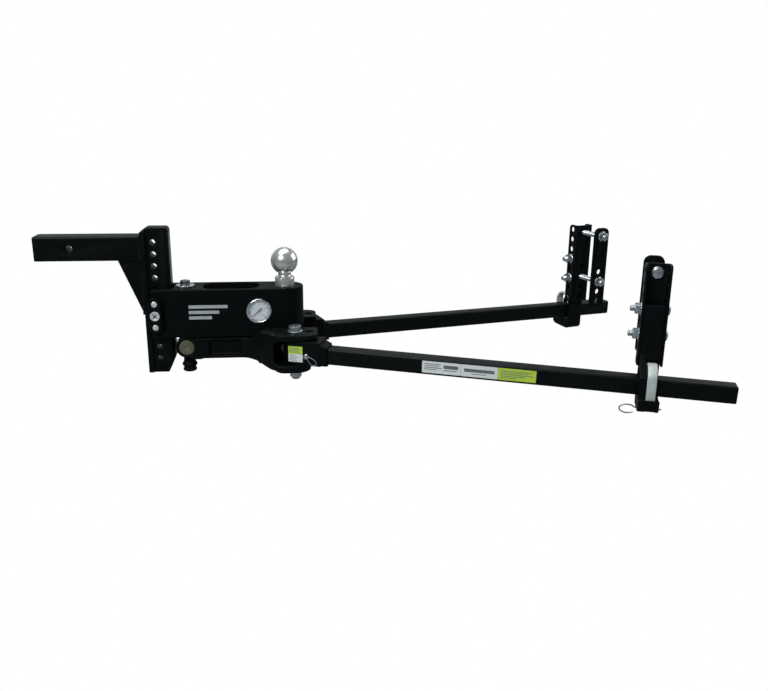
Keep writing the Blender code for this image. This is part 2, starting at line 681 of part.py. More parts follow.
def make_bracket(label, side, group, clip_group):
    """Bracket in the bar's frame: s along the bar, e outboard of its axis, z above its axis."""

    def across(outline, low, high, axis="X"):
        """Outline in (e, z) or (s, e), mirrored to this side."""
        if axis == "X":
            return prism([(side * e, z) for e, z in outline], low, high, "X")
        return prism([(s, side * e) for s, e in outline], low, high, "Z")

    def bolt_hole(s, z, diameter, e0, e1):
        return bore(s, z, diameter, *sorted((side * e0, side * e1)), "Y", 10)

    half, wall = CHANNEL_W / 2, CHANNEL_T
    web_e, edge_e = CHANNEL_E
    channel_plan = (
        [(half, edge_e)] + arc(half - 5, web_e + 5, 5, 0, -90, 3) + arc(-half + 5, web_e + 5, 5, -90, -180, 3)
        + [(-half, edge_e), (-half + wall, edge_e), (-half + wall, web_e + wall), (half - wall, web_e + wall),
           (half - wall, edge_e)]
    )
    lift = BRACKET_LIFT[label]
    channel_low, channel_high = CHANNEL_Z[0] + lift, CHANNEL_Z[1] + lift
    channel = across(channel_plan, channel_low, channel_high, "Z")
    hole_e = -22.0
    top_hole = channel_high - 11.5
    for index in range(FLANGE_HOLES):
        z = top_hole - index * HOLE_PITCH
        channel = cut(channel, bore(side * hole_e, z, BOLT_HOLE_D, -40, 40, "X", 8))
    lower_clamp, upper_clamp = CLAMP_Z[0] + lift, CLAMP_Z[1] + lift
    web_holes = [upper_clamp] + [lower_clamp + k * HOLE_PITCH for k in (-2, -1, 0, 1)]
    corner_r = 9.0
    nip = arc(edge_e - corner_r, channel_high - corner_r, corner_r, 0, 90, 4)
    nip.append((edge_e + 3, channel_high + 3))
    channel = cut(channel, across(nip, -40, 40))
    channel = cut(channel, *[bolt_hole(0, z, BOLT_HOLE_D, -60, -20) for z in web_holes])
    piece(label + "_channel", channel, group, "black")

    outline = rounded(-PLATE_W / 2, PLATE_Z[0] + lift, PLATE_W / 2, PLATE_Z[1] + lift, (6, 6, 14, 14), 4)
    plate = prism(outline, *sorted((side * PLATE_E[0], side * PLATE_E[1])), "Y")
    plate = cut(plate, *[bolt_hole(0, z, BOLT_HOLE_D, -130, -90) for z in web_holes])
    piece(label + "_clamp_plate", plate, group, "black")

    for name, z, head in (("upper", upper_clamp, 8.0), ("lower", lower_clamp, 5.0)):
        seat = web_e + wall + GAP
        tip = -128.0
        shaft = rod(0, z, BRACKET_BOLT_D, *sorted((side * (seat + head / 2), side * tip)), "Y", 12)
        flange = rod(0, z, 24, *sorted((side * seat, side * (seat + 2))), "Y", 14)
        top = hexagon(0, z, 19, *sorted((side * (seat + 1), side * (seat + head))), "Y", turn=12)
        piece(f"{label}_{name}_clamp_bolt", join(shaft, flange, top), group, "zinc")
        nut_seat = PLATE_E[0] - GAP
        nut = hexagon(0, z, 19, *sorted((side * nut_seat, side * (nut_seat - 11))), "Y", turn=20)
        rim = rod(0, z, 25, *sorted((side * nut_seat, side * (nut_seat - 2.5))), "Y", 14)
        nut = cut(join(nut, rim), bolt_hole(0, z, BRACKET_BOLT_D + 0.6, -140, -90))
        piece(f"{label}_{name}_clamp_nut", nut, group, "zinc")

    # Hanger: a block inside the channel, a plate down past the bar and a shelf under it.
    wide = HANGER_W / 2
    back_e, front_e = HANGER_E
    low_z, high_z = HANGER_Z[0] + lift, HANGER_Z[1]
    block = across([(back_e, low_z), (front_e, low_z), (front_e, high_z), (back_e, high_z)], -wide, wide)
    hook_inner, hook_plate = -19.0, -27.0
    bottom = -47.2
    hook = (
        [(hook_plate, low_z + 6), (hook_plate, bottom + 12)]
        + arc(hook_plate + 12, bottom + 12, 12, 180, 270, 4)[1:]
        + [(24, bottom + 1.5)]
        + arc(LIP_E - 12, bottom + 14, 12, -80, 0, 4)
        + [(LIP_E, -18.9), (LIP_E - 5.7, -18.9), (LIP_E - 5.7, SHELF_TOP_Z), (hook_inner, SHELF_TOP_Z),
           (hook_inner, low_z + 6)]
    )
    keeper_s = KEEPER_S[label]
    keeper_half = 8.7
    if keeper_s > 0:
        post_from, post_to = -wide, keeper_s - keeper_half - 1.2
    else:
        post_from, post_to = keeper_s + keeper_half + 1.2, wide
    post = across(
        [(front_e - 4, low_z + 4), (front_e - 4, low_z + 14), (front_e + 2, 53), (30, 22), (30, -26),
         (24, -26), (24, 18)],
        post_from, post_to,
    )
    hanger = join(block, across(hook, -wide, wide), post)
    for z in (top_hole - index * HOLE_PITCH for index in SIDE_BOLT_HOLES):
        hanger = cut(hanger, bore(side * hole_e, z, BRACKET_BOLT_D + 0.8, -40, 40, "X", 10))
    slot = [(CLIP_E - 3.1, bottom - 5), (CLIP_E + 3.1, bottom - 5), (CLIP_E + 3.1, -15), (CLIP_E - 3.1, -15)]
    hanger = cut(
        hanger,
        bolt_hole(0, lower_clamp, 25.4, -36, -29.4),
        across(slot, keeper_s - keeper_half - 0.5, keeper_s + keeper_half + 0.5),
        bore(side * CLIP_E, CLIP_Z, CLIP_D + 0.8, -40, 40, "X", 8),
    )
    piece(label + "_hanger", hanger, group, "black")

    pad = across(
        [(hook_inner + 0.4, SHELF_TOP_Z + GAP), (18.5, SHELF_TOP_Z + GAP), (18.5, -18.4),
         (hook_inner + 0.4, -18.4)],
        -wide + 0.5, wide - 0.5,
    )
    piece(label + "_friction_pad", pad, group, "pad")

    leg_in, leg_out = CLIP_E - 2.7, CLIP_E + 2.7
    outer_r = (leg_out + 17.3) / 2
    inner_r = outer_r - (leg_out - leg_in)
    arch_e, arch_z = leg_out - outer_r, 21.2
    keeper_outline = (
        [(leg_out, CLIP_Z - 5.5)] + arc(arch_e, arch_z, outer_r, 0, 180, 8)
        + [(arch_e - outer_r, arch_z - 1.5), (arch_e - inner_r, arch_z - 1.5)]
        + arc(arch_e, arch_z, inner_r, 180, 0, 8) + [(leg_in, CLIP_Z - 5.5)]
    )
    keeper = across(keeper_outline, keeper_s - keeper_half, keeper_s + keeper_half)
    keeper = cut(keeper, bore(side * CLIP_E, CLIP_Z, CLIP_D + 1.0, -40, 40, "X", 8))
    piece(label + "_bar_keeper", keeper, group, "ivory")

    for name, index in (("upper", SIDE_BOLT_HOLES[0]), ("lower", SIDE_BOLT_HOLES[1])):
        z = top_hole - index * HOLE_PITCH
        y = side * hole_e
        shaft = rod(y, z, BRACKET_BOLT_D, -46, half + 4, "X", 12)
        dome = [(0, half + GAP), (12, half + GAP), (11, half + 2.4), (7.5, half + 4.2), (0, half + 5)]
        head = turned(dome, (0, y, z), "X", 14)
        nut = hexagon(y, z, 19, -half - 12, -half - 1, "X", turn=20)
        nut_rim = rod(y, z, 25, -half - 2.8, -half - GAP, "X", 14)
        piece(f"{label}_{name}_side_bolt", join(shaft, head, nut, nut_rim), group, "zinc")

    # Clip: a straight leg through shelf and keeper, turned into a ring at its outer end.
    way = 1 if keeper_s > 0 else -1
    leg = [(way * s, CLIP_Z) for s in (25, 10, -6, -21.5)]
    ring = [
        (way * (RING_SIZE[0] * math.cos(a) - RING_S), CLIP_Z - RING_DROP + RING_SIZE[1] * math.sin(a))
        for a in (math.radians(20 + 28 * k) for k in range(0, 12))
    ]
    path = [(s, side * CLIP_E, z) for s, z in leg + ring]
    piece(label + "_keeper_clip", wire(path, CLIP_D), clip_group, "zinc")


# ---------------------------------------------------------------- assembly


def main():
    root = frame("ball_centre", (0, 0, 0))
    FRAMES[root]["empty"].location = Vector((-PIN_HOLE_X, 0, -SHANK_Z)) * MM

    make_drawbar(root)
    make_ball_mount(root)
    make_gauge(root, frame("needle_axis", (GAUGE_X, -BODY_HALF, GAUGE_Z), root))
    make_ball(frame("ball_axis", (0, 0, -60), root))
    make_locking(
        frame("hitch_pins_axis", (HOLE_COLUMN_X, 0, LOCK_Z), root),
        frame("lock_plate_axis", (HOLE_COLUMN_X, -BODY_HALF, LOCK_Z), root),
        frame("lock_key_axis", (HOLE_COLUMN_X, -BODY_HALF - 5, LOCK_Z), root),
    )
    yoke = frame("yoke_axis", (0, 0, PIVOT_Z), root)
    make_tension(
        frame("tension_bolt_axis", (BOLT_X, 0, -100), root),
        frame("barrel_nut_axis", (BOLT_X, 0, NUT_Z), yoke),
    )
    make_yoke(yoke)
    for label, side in (("near", -1), ("far", 1)):
        bolt = (SWING_X, side * SWING_Y, BAR_Z)
        swing = frame(label + "_swing_axis", bolt, yoke, side * SPLAY)
        make_bar(label, side, swing, frame(label + "_lock_pin_axis", (0, 0, 0), swing))
        s = BRACKET_S[label]
        bracket = frame(label + "_bracket_slide", (s, 0, -s * DROOP), swing)
        FRAMES[bracket]["at"] = Vector((0, 0, 0))
        clip = frame(label + "_clip_slide", (0, 0, 0), bracket)
        make_bracket(label, side, bracket, clip)


main()
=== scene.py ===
"""Looks of the weight distribution hitch: smooth pieces, threads, welds, dial, labels and finishes.

Lengths are millimetres until a mesh is made. Sections are drawn from the ball centre, as in the
CAD; the frame's own origin is the hitch-pin hole of the shank.
"""

import math

import bmesh
import bpy
from mathutils import Matrix, Vector


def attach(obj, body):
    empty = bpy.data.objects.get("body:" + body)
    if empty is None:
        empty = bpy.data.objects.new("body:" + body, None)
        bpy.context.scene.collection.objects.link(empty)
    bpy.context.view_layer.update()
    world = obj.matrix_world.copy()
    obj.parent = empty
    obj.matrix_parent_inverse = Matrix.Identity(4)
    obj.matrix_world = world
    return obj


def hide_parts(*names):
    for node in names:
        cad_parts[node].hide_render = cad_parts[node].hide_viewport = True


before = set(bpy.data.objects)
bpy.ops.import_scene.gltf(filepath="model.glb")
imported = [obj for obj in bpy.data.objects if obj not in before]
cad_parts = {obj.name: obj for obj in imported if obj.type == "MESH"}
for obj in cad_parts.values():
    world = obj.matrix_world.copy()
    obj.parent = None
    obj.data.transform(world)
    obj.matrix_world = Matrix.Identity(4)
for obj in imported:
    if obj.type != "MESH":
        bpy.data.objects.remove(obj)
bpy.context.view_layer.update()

MM = 0.001
GAP = 0.3
PIN_HOLE_X, SHANK_Z, SHANK, SHANK_END_X, PIN_HOLE_D = -443.0, 32.7, 50.8, -514.0, 16.3
RAIL_X, FLANGE_T, WEB_END_X, WEB_T = -298.0, 10.0, -240.5, 38.0
RAIL_TOP_Z, RAIL_BOTTOM_Z, RAIL_HOLE_D, LOCKING_PIN_D = 75.2, -240.5, 13.5, 12.7
HOLE_PITCH, HOLE_COLUMN_X, TOP_HOLE_Z, RAIL_HOLES = 25.4, -274.0, 44.5, 11
UPPER_PIN_Z = TOP_HOLE_Z - 5 * HOLE_PITCH
LOWER_PIN_Z = TOP_HOLE_Z - 7 * HOLE_PITCH
LOCK_Z = (UPPER_PIN_Z + LOWER_PIN_Z) / 2
GUSSET_START_X, GUSSET_END_Z = -347.0, -115.0
BODY_HALF, BODY_TOP_Z, BODY_BOTTOM_Z, BODY_END_X = 39.5, -53.2, -158.0, -283.0
BALL_R, COLLAR_R, PISTON_R = 58.74 / 2, 21.2, 25.7
GAUGE_X, GAUGE_Z = -56.0, -101.8
BOLT_X, BOLT_D, NUT_Z, NUT_D = -213.5, 16.0, -181.5, 32.0
PIVOT_Z, PIVOT_D, YOKE_HALF = -183.0, 25.0, 36.0
EAR_X, EAR_Z, EAR_Y, EAR_CORNER = (-41.0, 68.0), (-221.5, -138.0), (44.0, 112.0), 42.0
CAVITY_X, CAVITY_Y, CAVITY_Z = -25.5, 52.5, (-205.0, -152.0)
SWING_X, SWING_Y, BAR_Z = 20.0, 79.0, -182.6
SPLAY, DROOP = 0.3137, 0.0221
BAR, BAR_START, BAR_END = 35.0, 18.0, 890.0
TRUNNION_BOLT_D, TRUNNION_HEX, BLOCK_HALF, BLOCK_END, COLLAR_END, LOCK_PIN_S = 19.0, 24.0, 25.4, 62.0, 76.0, 33.0
BRACKET_S = {"near": 725.8, "far": 772.4}
KEEPER_S = {"near": 3.0, "far": -9.0}
BRACKET_LIFT = {"near": 4.0, "far": -2.0}
BODY_MARKS = [(-204, -94, -122, -87), (-204, -106, -140, -99), (-204, -118, -156, -111)]
CHANNEL_W, CHANNEL_T, CHANNEL_E, CHANNEL_Z = 50.0, 4.8, (-40.0, -10.0), (31.6, 232.4)
PLATE_E, PLATE_W, PLATE_Z, CLAMP_Z = (-112.0, -104.0), 41.0, (33.6, 235.0), (98.6, 214.2)
HANGER_W, HANGER_E, HANGER_Z = 39.8, (-34.9, -11.3), (43.2, 158.2)
SHELF_TOP_Z, LIP_E, CLIP_E, CLIP_Z, CLIP_D = -21.9, 42.0, 33.0, -37.4, 3.0
RING_S, RING_DROP, RING_SIZE = 38.5, 2.7, (15.0, 8.7)

ROOT = Matrix.Translation(Vector((-PIN_HOLE_X, 0, -SHANK_Z)) * MM)


# ---------------------------------------------------------------- outlines


def arc(cx, cy, radius, start, end, steps):
    angles = [math.radians(start + (end - start) * i / steps) for i in range(steps + 1)]
    return [(cx + radius * math.cos(a), cy + radius * math.sin(a)) for a in angles]


def rounded(x0, y0, x1, y1, radii, steps=8):
    if not isinstance(radii, (tuple, list)):
        radii = (radii,) * 4
    points = []
    for (x, y, start), radius in zip(((x0, y0, 180), (x1, y0, 270), (x1, y1, 0), (x0, y1, 90)), radii):
        if radius <= 0:
            points.append((x, y))
            continue
        cx = x + radius if x == x0 else x - radius
        cy = y + radius if y == y0 else y - radius
        points += arc(cx, cy, radius, start, start + 90, steps)
    return points


def stadium(x, y0, y1, radius, steps=20):
    return arc(x, y1, radius, 0, 180, steps) + arc(x, y0, radius, 180, 360, steps)


# ------------------------------------------------------------------ solids


def solid(builder):
    bmesh.ops.recalc_face_normals(builder, faces=builder.faces)
    mesh = bpy.data.meshes.new("shape")
    builder.to_mesh(mesh)
    builder.free()
    shape = bpy.data.objects.new("shape", mesh)
    bpy.context.scene.collection.objects.link(shape)
    return shape


def along(axis, a, b, height):
    return {"X": (height, a, b), "Y": (a, height, b), "Z": (a, b, height)}[axis]


def prism(outline, low, high, axis="Z"):
    """Outline extruded along an axis: X takes (y, z), Y takes (x, z), Z takes (x, y)."""
    builder = bmesh.new()
    bottom = [builder.verts.new(Vector(along(axis, a, b, low)) * MM) for a, b in outline]
    extruded = bmesh.ops.extrude_face_region(builder, geom=[builder.faces.new(bottom)])
    moved = [v for v in extruded["geom"] if isinstance(v, bmesh.types.BMVert)]
    bmesh.ops.translate(builder, verts=moved, vec=Vector(along(axis, 0, 0, high - low)) * MM)
    return solid(builder)


def box(x0, x1, y0, y1, z0, z1):
    return prism([(x0, y0), (x1, y0), (x1, y1), (x0, y1)], z0, z1)


def rod(a, b, diameter, low, high, axis="Z", sides=40):
    return prism(arc(a, b, diameter / 2, 0, 360 - 360 / sides, sides - 1), low, high, axis)


def stand(builder, a, b, axis):
    """Turn what was built along Z to lie along the axis, through (a, b)."""
    if axis == "Y":
        builder.transform(Matrix.Rotation(-math.pi / 2, 4, "X"))
    elif axis == "X":
        builder.transform(Matrix.Rotation(math.pi / 2, 4, "Y"))
    builder.transform(Matrix.Translation(Vector(along(axis, a, b, 0)) * MM))


def turned(profile, a=0, b=0, axis="Z", sides=64):
    """Closed (radius, height) profile spun about an axis."""
    builder = bmesh.new()
    ring = [builder.verts.new(Vector((r, 0, h)) * MM) for r, h in profile]
    edges = [builder.edges.new((ring[i], ring[(i + 1) % len(ring)])) for i in range(len(ring))]
    bmesh.ops.spin(
        builder, geom=ring + edges, cent=(0, 0, 0), axis=(0, 0, 1),
        angle=2 * math.pi, steps=sides, use_merge=True, use_duplicate=False,
    )
    bmesh.ops.remove_doubles(builder, verts=builder.verts, dist=1e-6)
    stand(builder, a, b, axis)
    return solid(builder)


def eased(profile, radius, steps=3):
    """Closed profile with its convex and concave corners rounded, apart from those on the axis."""
    points = []
    for i, here in enumerate(profile):
        before, after = Vector(profile[i - 1]), Vector(profile[(i + 1) % len(profile)])
        here = Vector(here)
        if here.x <= 0.001:
            points.append(tuple(here))
            continue
        one, two = before - here, after - here
        reach = min(radius, one.length * 0.45, two.length * 0.45)
        start, end = here + one.normalized() * reach, here + two.normalized() * reach
        for k in range(steps + 1):
            t = k / steps
            points.append(tuple(start.lerp(here, t).lerp(here.lerp(end, t), t)))
    return points


def threaded(radius, pitch, low, high, a=0, b=0, axis="Z", sides=24):
    """Rod with a helical V thread and tapered ends."""
    builder = bmesh.new()
    steps = max(4, round((high - low) / (pitch / 4)))
    rings = []
    for i in range(steps + 1):
        height = low + (high - low) * i / steps
        end = min(1.0, min(i, steps - i) / 3)
        ring = []
        for k in range(sides):
            phase = (height / pitch - k / sides) % 1
            r = radius - 0.54 * pitch * abs(2 * phase - 1) * end - (1 - end) * 0.5 * pitch
            t = 2 * math.pi * k / sides
            ring.append(builder.verts.new(Vector((r * math.cos(t), r * math.sin(t), height)) * MM))
        rings.append(ring)
    for one, two in zip(rings, rings[1:]):
        for k in range(sides):
            builder.faces.new((one[k], one[(k + 1) % sides], two[(k + 1) % sides], two[k]))
    builder.faces.new(rings[0])
    builder.faces.new(rings[-1])
    stand(builder, a, b, axis)
    return solid(builder)


def wire(points, diameter, closed=False, sides=12, ripple=0.0):
    """Round wire swept along points; a ripple swells every other ring, as in a weld bead."""
    builder = bmesh.new()
    path = [Vector(p) * MM for p in points]
    count = len(path)
    side_way, rings = None, []
    for i, here in enumerate(path):
        before = path[i - 1] if closed or i else here
        after = path[(i + 1) % count] if closed or i < count - 1 else here
        heading = (after - before).normalized()
        guess = side_way if side_way is not None else Vector((0.1, 1, 0.2))
        side_way = (guess - heading * guess.dot(heading)).normalized()
        up_way = heading.cross(side_way)
        r = diameter * MM / 2 * (1 + ripple * math.sin(i * 2.1))
        ring = [
            builder.verts.new(here + (side_way * math.cos(t) + up_way * math.sin(t)) * r)
            for t in (2 * math.pi * k / sides for k in range(sides))
        ]
        rings.append(ring)
    for i in range(count if closed else count - 1):
        one, two = rings[i], rings[(i + 1) % count]
        for k in range(sides):
            builder.faces.new((one[k], one[(k + 1) % sides], two[(k + 1) % sides], two[k]))
    if not closed:
        builder.faces.new(rings[0])
        builder.faces.new(rings[-1])
    return solid(builder)


def bead(corners, diameter=6.0):
    """Weld bead along straight runs between corners."""
    corners = [Vector(c) for c in corners]
    points = []
    for one, two in zip(corners, corners[1:]):
        steps = max(2, round((two - one).length / 1.1))
        points += [one.lerp(two, k / steps) for k in range(steps)]
    return wire(points + corners[-1:], diameter, False, 10, 0.10)


def hull(points):
    builder = bmesh.new()
    for p in points:
        builder.verts.new(Vector(p) * MM)
    made = bmesh.ops.convex_hull(builder, input=builder.verts)
    spare = [g for g in made["geom_interior"] if isinstance(g, bmesh.types.BMVert)]
    bmesh.ops.delete(builder, geom=spare, context="VERTS")
    bmesh.ops.dissolve_limit(builder, angle_limit=0.001, verts=builder.verts, edges=builder.edges)
    return solid(builder)


def applied(shape):
    """The shape with its modifiers applied."""
    bpy.context.view_layer.update()
    mesh = bpy.data.meshes.new_from_object(shape.evaluated_get(bpy.context.evaluated_depsgraph_get()))
    shape.modifiers.clear()
    shape.data = mesh
    return shape


def combined(base, others, operation):
    for other in others:
        modifier = base.modifiers.new("shape", "BOOLEAN")
        modifier.operation = operation
        modifier.solver = "EXACT"
        modifier.object = other
        applied(base)
        bpy.data.objects.remove(other, do_unlink=True)
        builder = bmesh.new()
        builder.from_mesh(base.data)
        bmesh.ops.remove_doubles(builder, verts=builder.verts, dist=5e-6)
        bmesh.ops.dissolve_degenerate(builder, edges=builder.edges, dist=5e-6)
        builder.to_mesh(base.data)
        builder.free()
    return base


def join(base, *others):
    return combined(base, others, "UNION")


def cut(base, *others):
    return combined(base, others, "DIFFERENCE")


def together(*shapes):
    """Shapes that stay apart, or may touch, in one mesh."""
    builder = bmesh.new()
    for shape in shapes:
        builder.from_mesh(shape.data)
        bpy.data.objects.remove(shape, do_unlink=True)
    return solid(builder)


def holes(spots, diameter, low, high, axis="Z", sides=40):
    """Cutters for a set of holes, all in one mesh."""
    return together(*[rod(a, b, diameter, low, high, axis, sides) for a, b in spots])


def soft_edges(shape, width=1.0, segments=3, angle=32):
    modifier = shape.modifiers.new("edges", "BEVEL")
    modifier.width = width * MM
    modifier.segments = segments
    modifier.limit_method = "ANGLE"
    modifier.angle_limit = math.radians(angle)
    modifier.use_clamp_overlap = True
    return applied(shape)


def cast(shape, voxel=1.4, rounds=6):
    """Blend every edge and inner corner, as in a casting."""
    remesh = shape.modifiers.new("skin", "REMESH")
    remesh.mode = "VOXEL"
    remesh.voxel_size = voxel * MM
    smooth = shape.modifiers.new("soft", "SMOOTH")
    smooth.factor = 0.5
    smooth.iterations = rounds
    applied(shape)
    shape["cast"] = True
    return shape


def hexagon(a, b, across, low, high, axis="Z", turn=0, ends=(True, True)):
    """Hexagon with the round chamfer of a nut or bolt head on the chosen ends."""
    corner = across / math.sqrt(3)
    drop = (corner - across / 2) * 0.6
    shape = prism(arc(a, b, corner, turn, turn + 300, 5), low, high, axis)
    flat = across / 2 * 0.97
    profile = [(0, low)]
    profile += [(flat, low), (corner, low + drop)] if ends[0] else [(corner + 1, low)]
    profile += [(corner, high - drop), (flat, high)] if ends[1] else [(corner + 1, high)]
    profile += [(0, high)]
    return combined(shape, [turned(profile, a, b, axis, 48)], "INTERSECT")


# --------------------------------------------------------------- materials


def link(tree, one, two):
    tree.links.new(one, two)


def finish(name, colours, metallic, roughness, grain, blotch=14.0, wear=None, stretch=(1, 1, 1), **fixed):
    """Procedural finish: two-tone colour, uneven gloss, surface grain and lighter worn edges."""
    material = bpy.data.materials.new(name)
    material.use_nodes = True
    tree = material.node_tree
    shader = tree.nodes["Principled BSDF"]
    shader.inputs["Metallic"].default_value = metallic
    for key, value in fixed.items():
        shader.inputs[key.replace("_", " ")].default_value = value
    place = tree.nodes.new("ShaderNodeTexCoord")
    mapping = tree.nodes.new("ShaderNodeMapping")
    mapping.inputs["Scale"].default_value = stretch
    link(tree, place.outputs["Object"], mapping.inputs["Vector"])

    def noise(scale, detail=4.0, distortion=0.0):
        node = tree.nodes.new("ShaderNodeTexNoise")
        node.inputs["Scale"].default_value = scale
        node.inputs["Detail"].default_value = detail
        node.inputs["Distortion"].default_value = distortion
        link(tree, mapping.outputs["Vector"], node.inputs["Vector"])
        return node.outputs["Fac"]

    ramp = tree.nodes.new("ShaderNodeValToRGB")
    ramp.color_ramp.elements[0].position = 0.30
    ramp.color_ramp.elements[0].color = (*colours[0], 1)
    ramp.color_ramp.elements[1].position = 0.72
    ramp.color_ramp.elements[1].color = (*colours[1], 1)
    link(tree, noise(blotch, 6.0, 0.4), ramp.inputs["Fac"])
    colour = ramp.outputs["Color"]
    if wear:
        geometry = tree.nodes.new("ShaderNodeNewGeometry")
        edge = tree.nodes.new("ShaderNodeMapRange")
        edge.inputs["From Min"].default_value = 0.53
        edge.inputs["From Max"].default_value = 0.66
        edge.inputs["To Max"].default_value = 0.75
        link(tree, geometry.outputs["Pointiness"], edge.inputs["Value"])
        broken = tree.nodes.new("ShaderNodeMath")
        broken.operation = "MULTIPLY"
        link(tree, edge.outputs["Result"], broken.inputs[0])
        link(tree, noise(90.0, 5.0), broken.inputs[1])
        mix = tree.nodes.new("ShaderNodeMix")
        mix.data_type = "RGBA"
        mix.inputs[7].default_value = (*wear, 1)
        link(tree, broken.outputs["Value"], mix.inputs["Factor"])
        link(tree, colour, mix.inputs[6])
        colour = mix.outputs[2]
    link(tree, colour, shader.inputs["Base Color"])
    gloss = tree.nodes.new("ShaderNodeMapRange")
    gloss.inputs["From Min"].default_value = 0.3
    gloss.inputs["From Max"].default_value = 0.7
    gloss.inputs["To Min"].default_value = roughness[0]
    gloss.inputs["To Max"].default_value = roughness[1]
    link(tree, noise(blotch * 5, 5.0), gloss.inputs["Value"])
    link(tree, gloss.outputs["Result"], shader.inputs["Roughness"])
    scale, strength, depth = grain
    bump = tree.nodes.new("ShaderNodeBump")
    bump.inputs["Strength"].default_value = strength
    bump.inputs["Distance"].default_value = depth * MM
    link(tree, noise(scale, 3.0), bump.inputs["Height"])
    link(tree, bump.outputs["Normal"], shader.inputs["Normal"])
    return material


COAT = ((0.0008, 0.0020, 0.0019), (0.0016, 0.0030, 0.0029))
WEAR = (0.018, 0.022, 0.024)
LOOKS = {
    "coat": (
        finish("powder_coat", COAT, 0, (0.34, 0.46), (900, 0.30, 0.12), wear=WEAR, Specular_IOR_Level=0.13),
        "black_coat",
    ),
    "mount": (
        finish("mount_coat", COAT, 0, (0.46, 0.60), (900, 0.30, 0.12), wear=WEAR, Specular_IOR_Level=0.10),
        "black_coat",
    ),
    "cast": (
        finish("cast_coat", COAT, 0, (0.46, 0.60), (420, 0.40, 0.22), wear=WEAR, Specular_IOR_Level=0.12),
        "black_coat",
    ),
    "bar": (
        finish("bar_coat", COAT, 0, (0.38, 0.52), (260, 0.30, 0.20), 9.0, WEAR, Specular_IOR_Level=0.16),
        "black_coat",
    ),
    "zinc": (
        finish("bright_zinc", ((0.52, 0.58, 0.62), (0.72, 0.77, 0.80)), 0.92, (0.16, 0.30), (800, 0.12, 0.05), 60),
        "zinc_plate",
    ),
    "keeper": (
        finish("pale_zinc", ((0.60, 0.64, 0.61), (0.74, 0.78, 0.75)), 0.3, (0.42, 0.58), (700, 0.25, 0.08), 40),
        "pale_zinc",
    ),
    "ball": (
        finish("polished_ball", ((0.80, 0.80, 0.75), (0.90, 0.90, 0.85)), 0.82, (0.17, 0.28), (300, 0.10, 0.03), 30,
               stretch=(1, 1, 8)),
        "polished_steel",
    ),
    "chrome": (
        finish("chrome", ((0.80, 0.82, 0.84), (0.90, 0.91, 0.92)), 1, (0.05, 0.12), (500, 0.05, 0.02), 50),
        "chrome_trim",
    ),
    "bright": (
        finish("bright_pin", ((0.70, 0.73, 0.72), (0.84, 0.86, 0.85)), 0.35, (0.22, 0.36), (600, 0.10, 0.04), 60),
        "polished_steel",
    ),
    "steel": (
        finish("dark_steel", ((0.16, 0.17, 0.17), (0.30, 0.31, 0.30)), 1, (0.30, 0.50), (700, 0.20, 0.06), 50),
        "plain_steel",
    ),
    "nut": (
        finish("turned_steel", ((0.11, 0.11, 0.06), (0.17, 0.17, 0.11)), 0.3, (0.42, 0.60), (500, 0.2, 0.08), 60),
        "plain_steel",
    ),
    "wire": (
        finish("spring_wire", ((0.22, 0.22, 0.23), (0.38, 0.38, 0.40)), 1, (0.25, 0.40), (900, 0.1, 0.03), 90),
        "spring_wire",
    ),
    "rubber": (
        finish("boot_rubber", ((0.003, 0.003, 0.0035), (0.006, 0.006, 0.0065)), 0, (0.5, 0.7), (800, 0.4, 0.10),
               Specular_IOR_Level=0.07),
        "black_rubber",
    ),
    "bronze": (
        finish("bush_bronze", ((0.36, 0.23, 0.10), (0.52, 0.35, 0.17)), 1, (0.3, 0.5), (600, 0.2, 0.05), 50),
        "bronze",
    ),
    "pad": (
        finish("pad_fibre", ((0.06, 0.045, 0.03), (0.12, 0.09, 0.06)), 0, (0.7, 0.9), (700, 0.6, 0.2), 120),
        "pad_fibre",
    ),
    "dial": (
        finish("dial_face", ((0.80, 0.86, 0.90), (0.86, 0.90, 0.93)), 0, (0.35, 0.45), (900, 0.05, 0.02), 40),
        "dial_face",
    ),
    "ink": (
        finish("dark_ink", ((0.02, 0.02, 0.03), (0.04, 0.04, 0.05)), 0, (0.4, 0.5), (900, 0.05, 0.02)),
        "dark_needle",
    ),
    "screen": (
        finish("screen_print", ((0.40, 0.42, 0.43), (0.52, 0.54, 0.55)), 0, (0.40, 0.55), (600, 0.10, 0.03), 60),
        "dial_face",
    ),
    "white": (
        finish("label_white", ((0.80, 0.82, 0.80), (0.88, 0.89, 0.88)), 0, (0.32, 0.42), (350, 0.10, 0.04), 30),
        "dial_face",
    ),
    "lime": (
        finish("label_lime", ((0.52, 0.72, 0.05), (0.62, 0.80, 0.09)), 0, (0.32, 0.42), (350, 0.10, 0.04), 30),
        "dial_face",
    ),
    "print": (
        finish("label_print", ((0.12, 0.13, 0.14), (0.20, 0.21, 0.22)), 0, (0.4, 0.5), (500, 0.05, 0.02)),
        "dial_face",
    ),
    "glass": (
        finish("lens_glass", ((0.90, 0.94, 0.96), (0.94, 0.97, 1.0)), 0, (0.02, 0.04), (300, 0.02, 0.01),
               Alpha=0.12, IOR=1.45),
        "clear_glass",
    ),
}


def add(name, shape, place, body, look, *nodes):
    """Put a shape in the frame, give it its finish, and let it ride on its body."""
    shape.data.transform(place)
    shape.name = name
    shape.data.name = name
    shape.data.materials.clear()
    material, slot = LOOKS[look]
    shape.data.materials.append(material)
    shape.data.shade_smooth()
    if not shape.get("cast"):
        shape.data.set_sharp_from_angle(angle=math.radians(34))
    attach(shape, body)
    if nodes:
        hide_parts(*nodes)
    return shape


# ----------------------------------------------------------------- drawbar


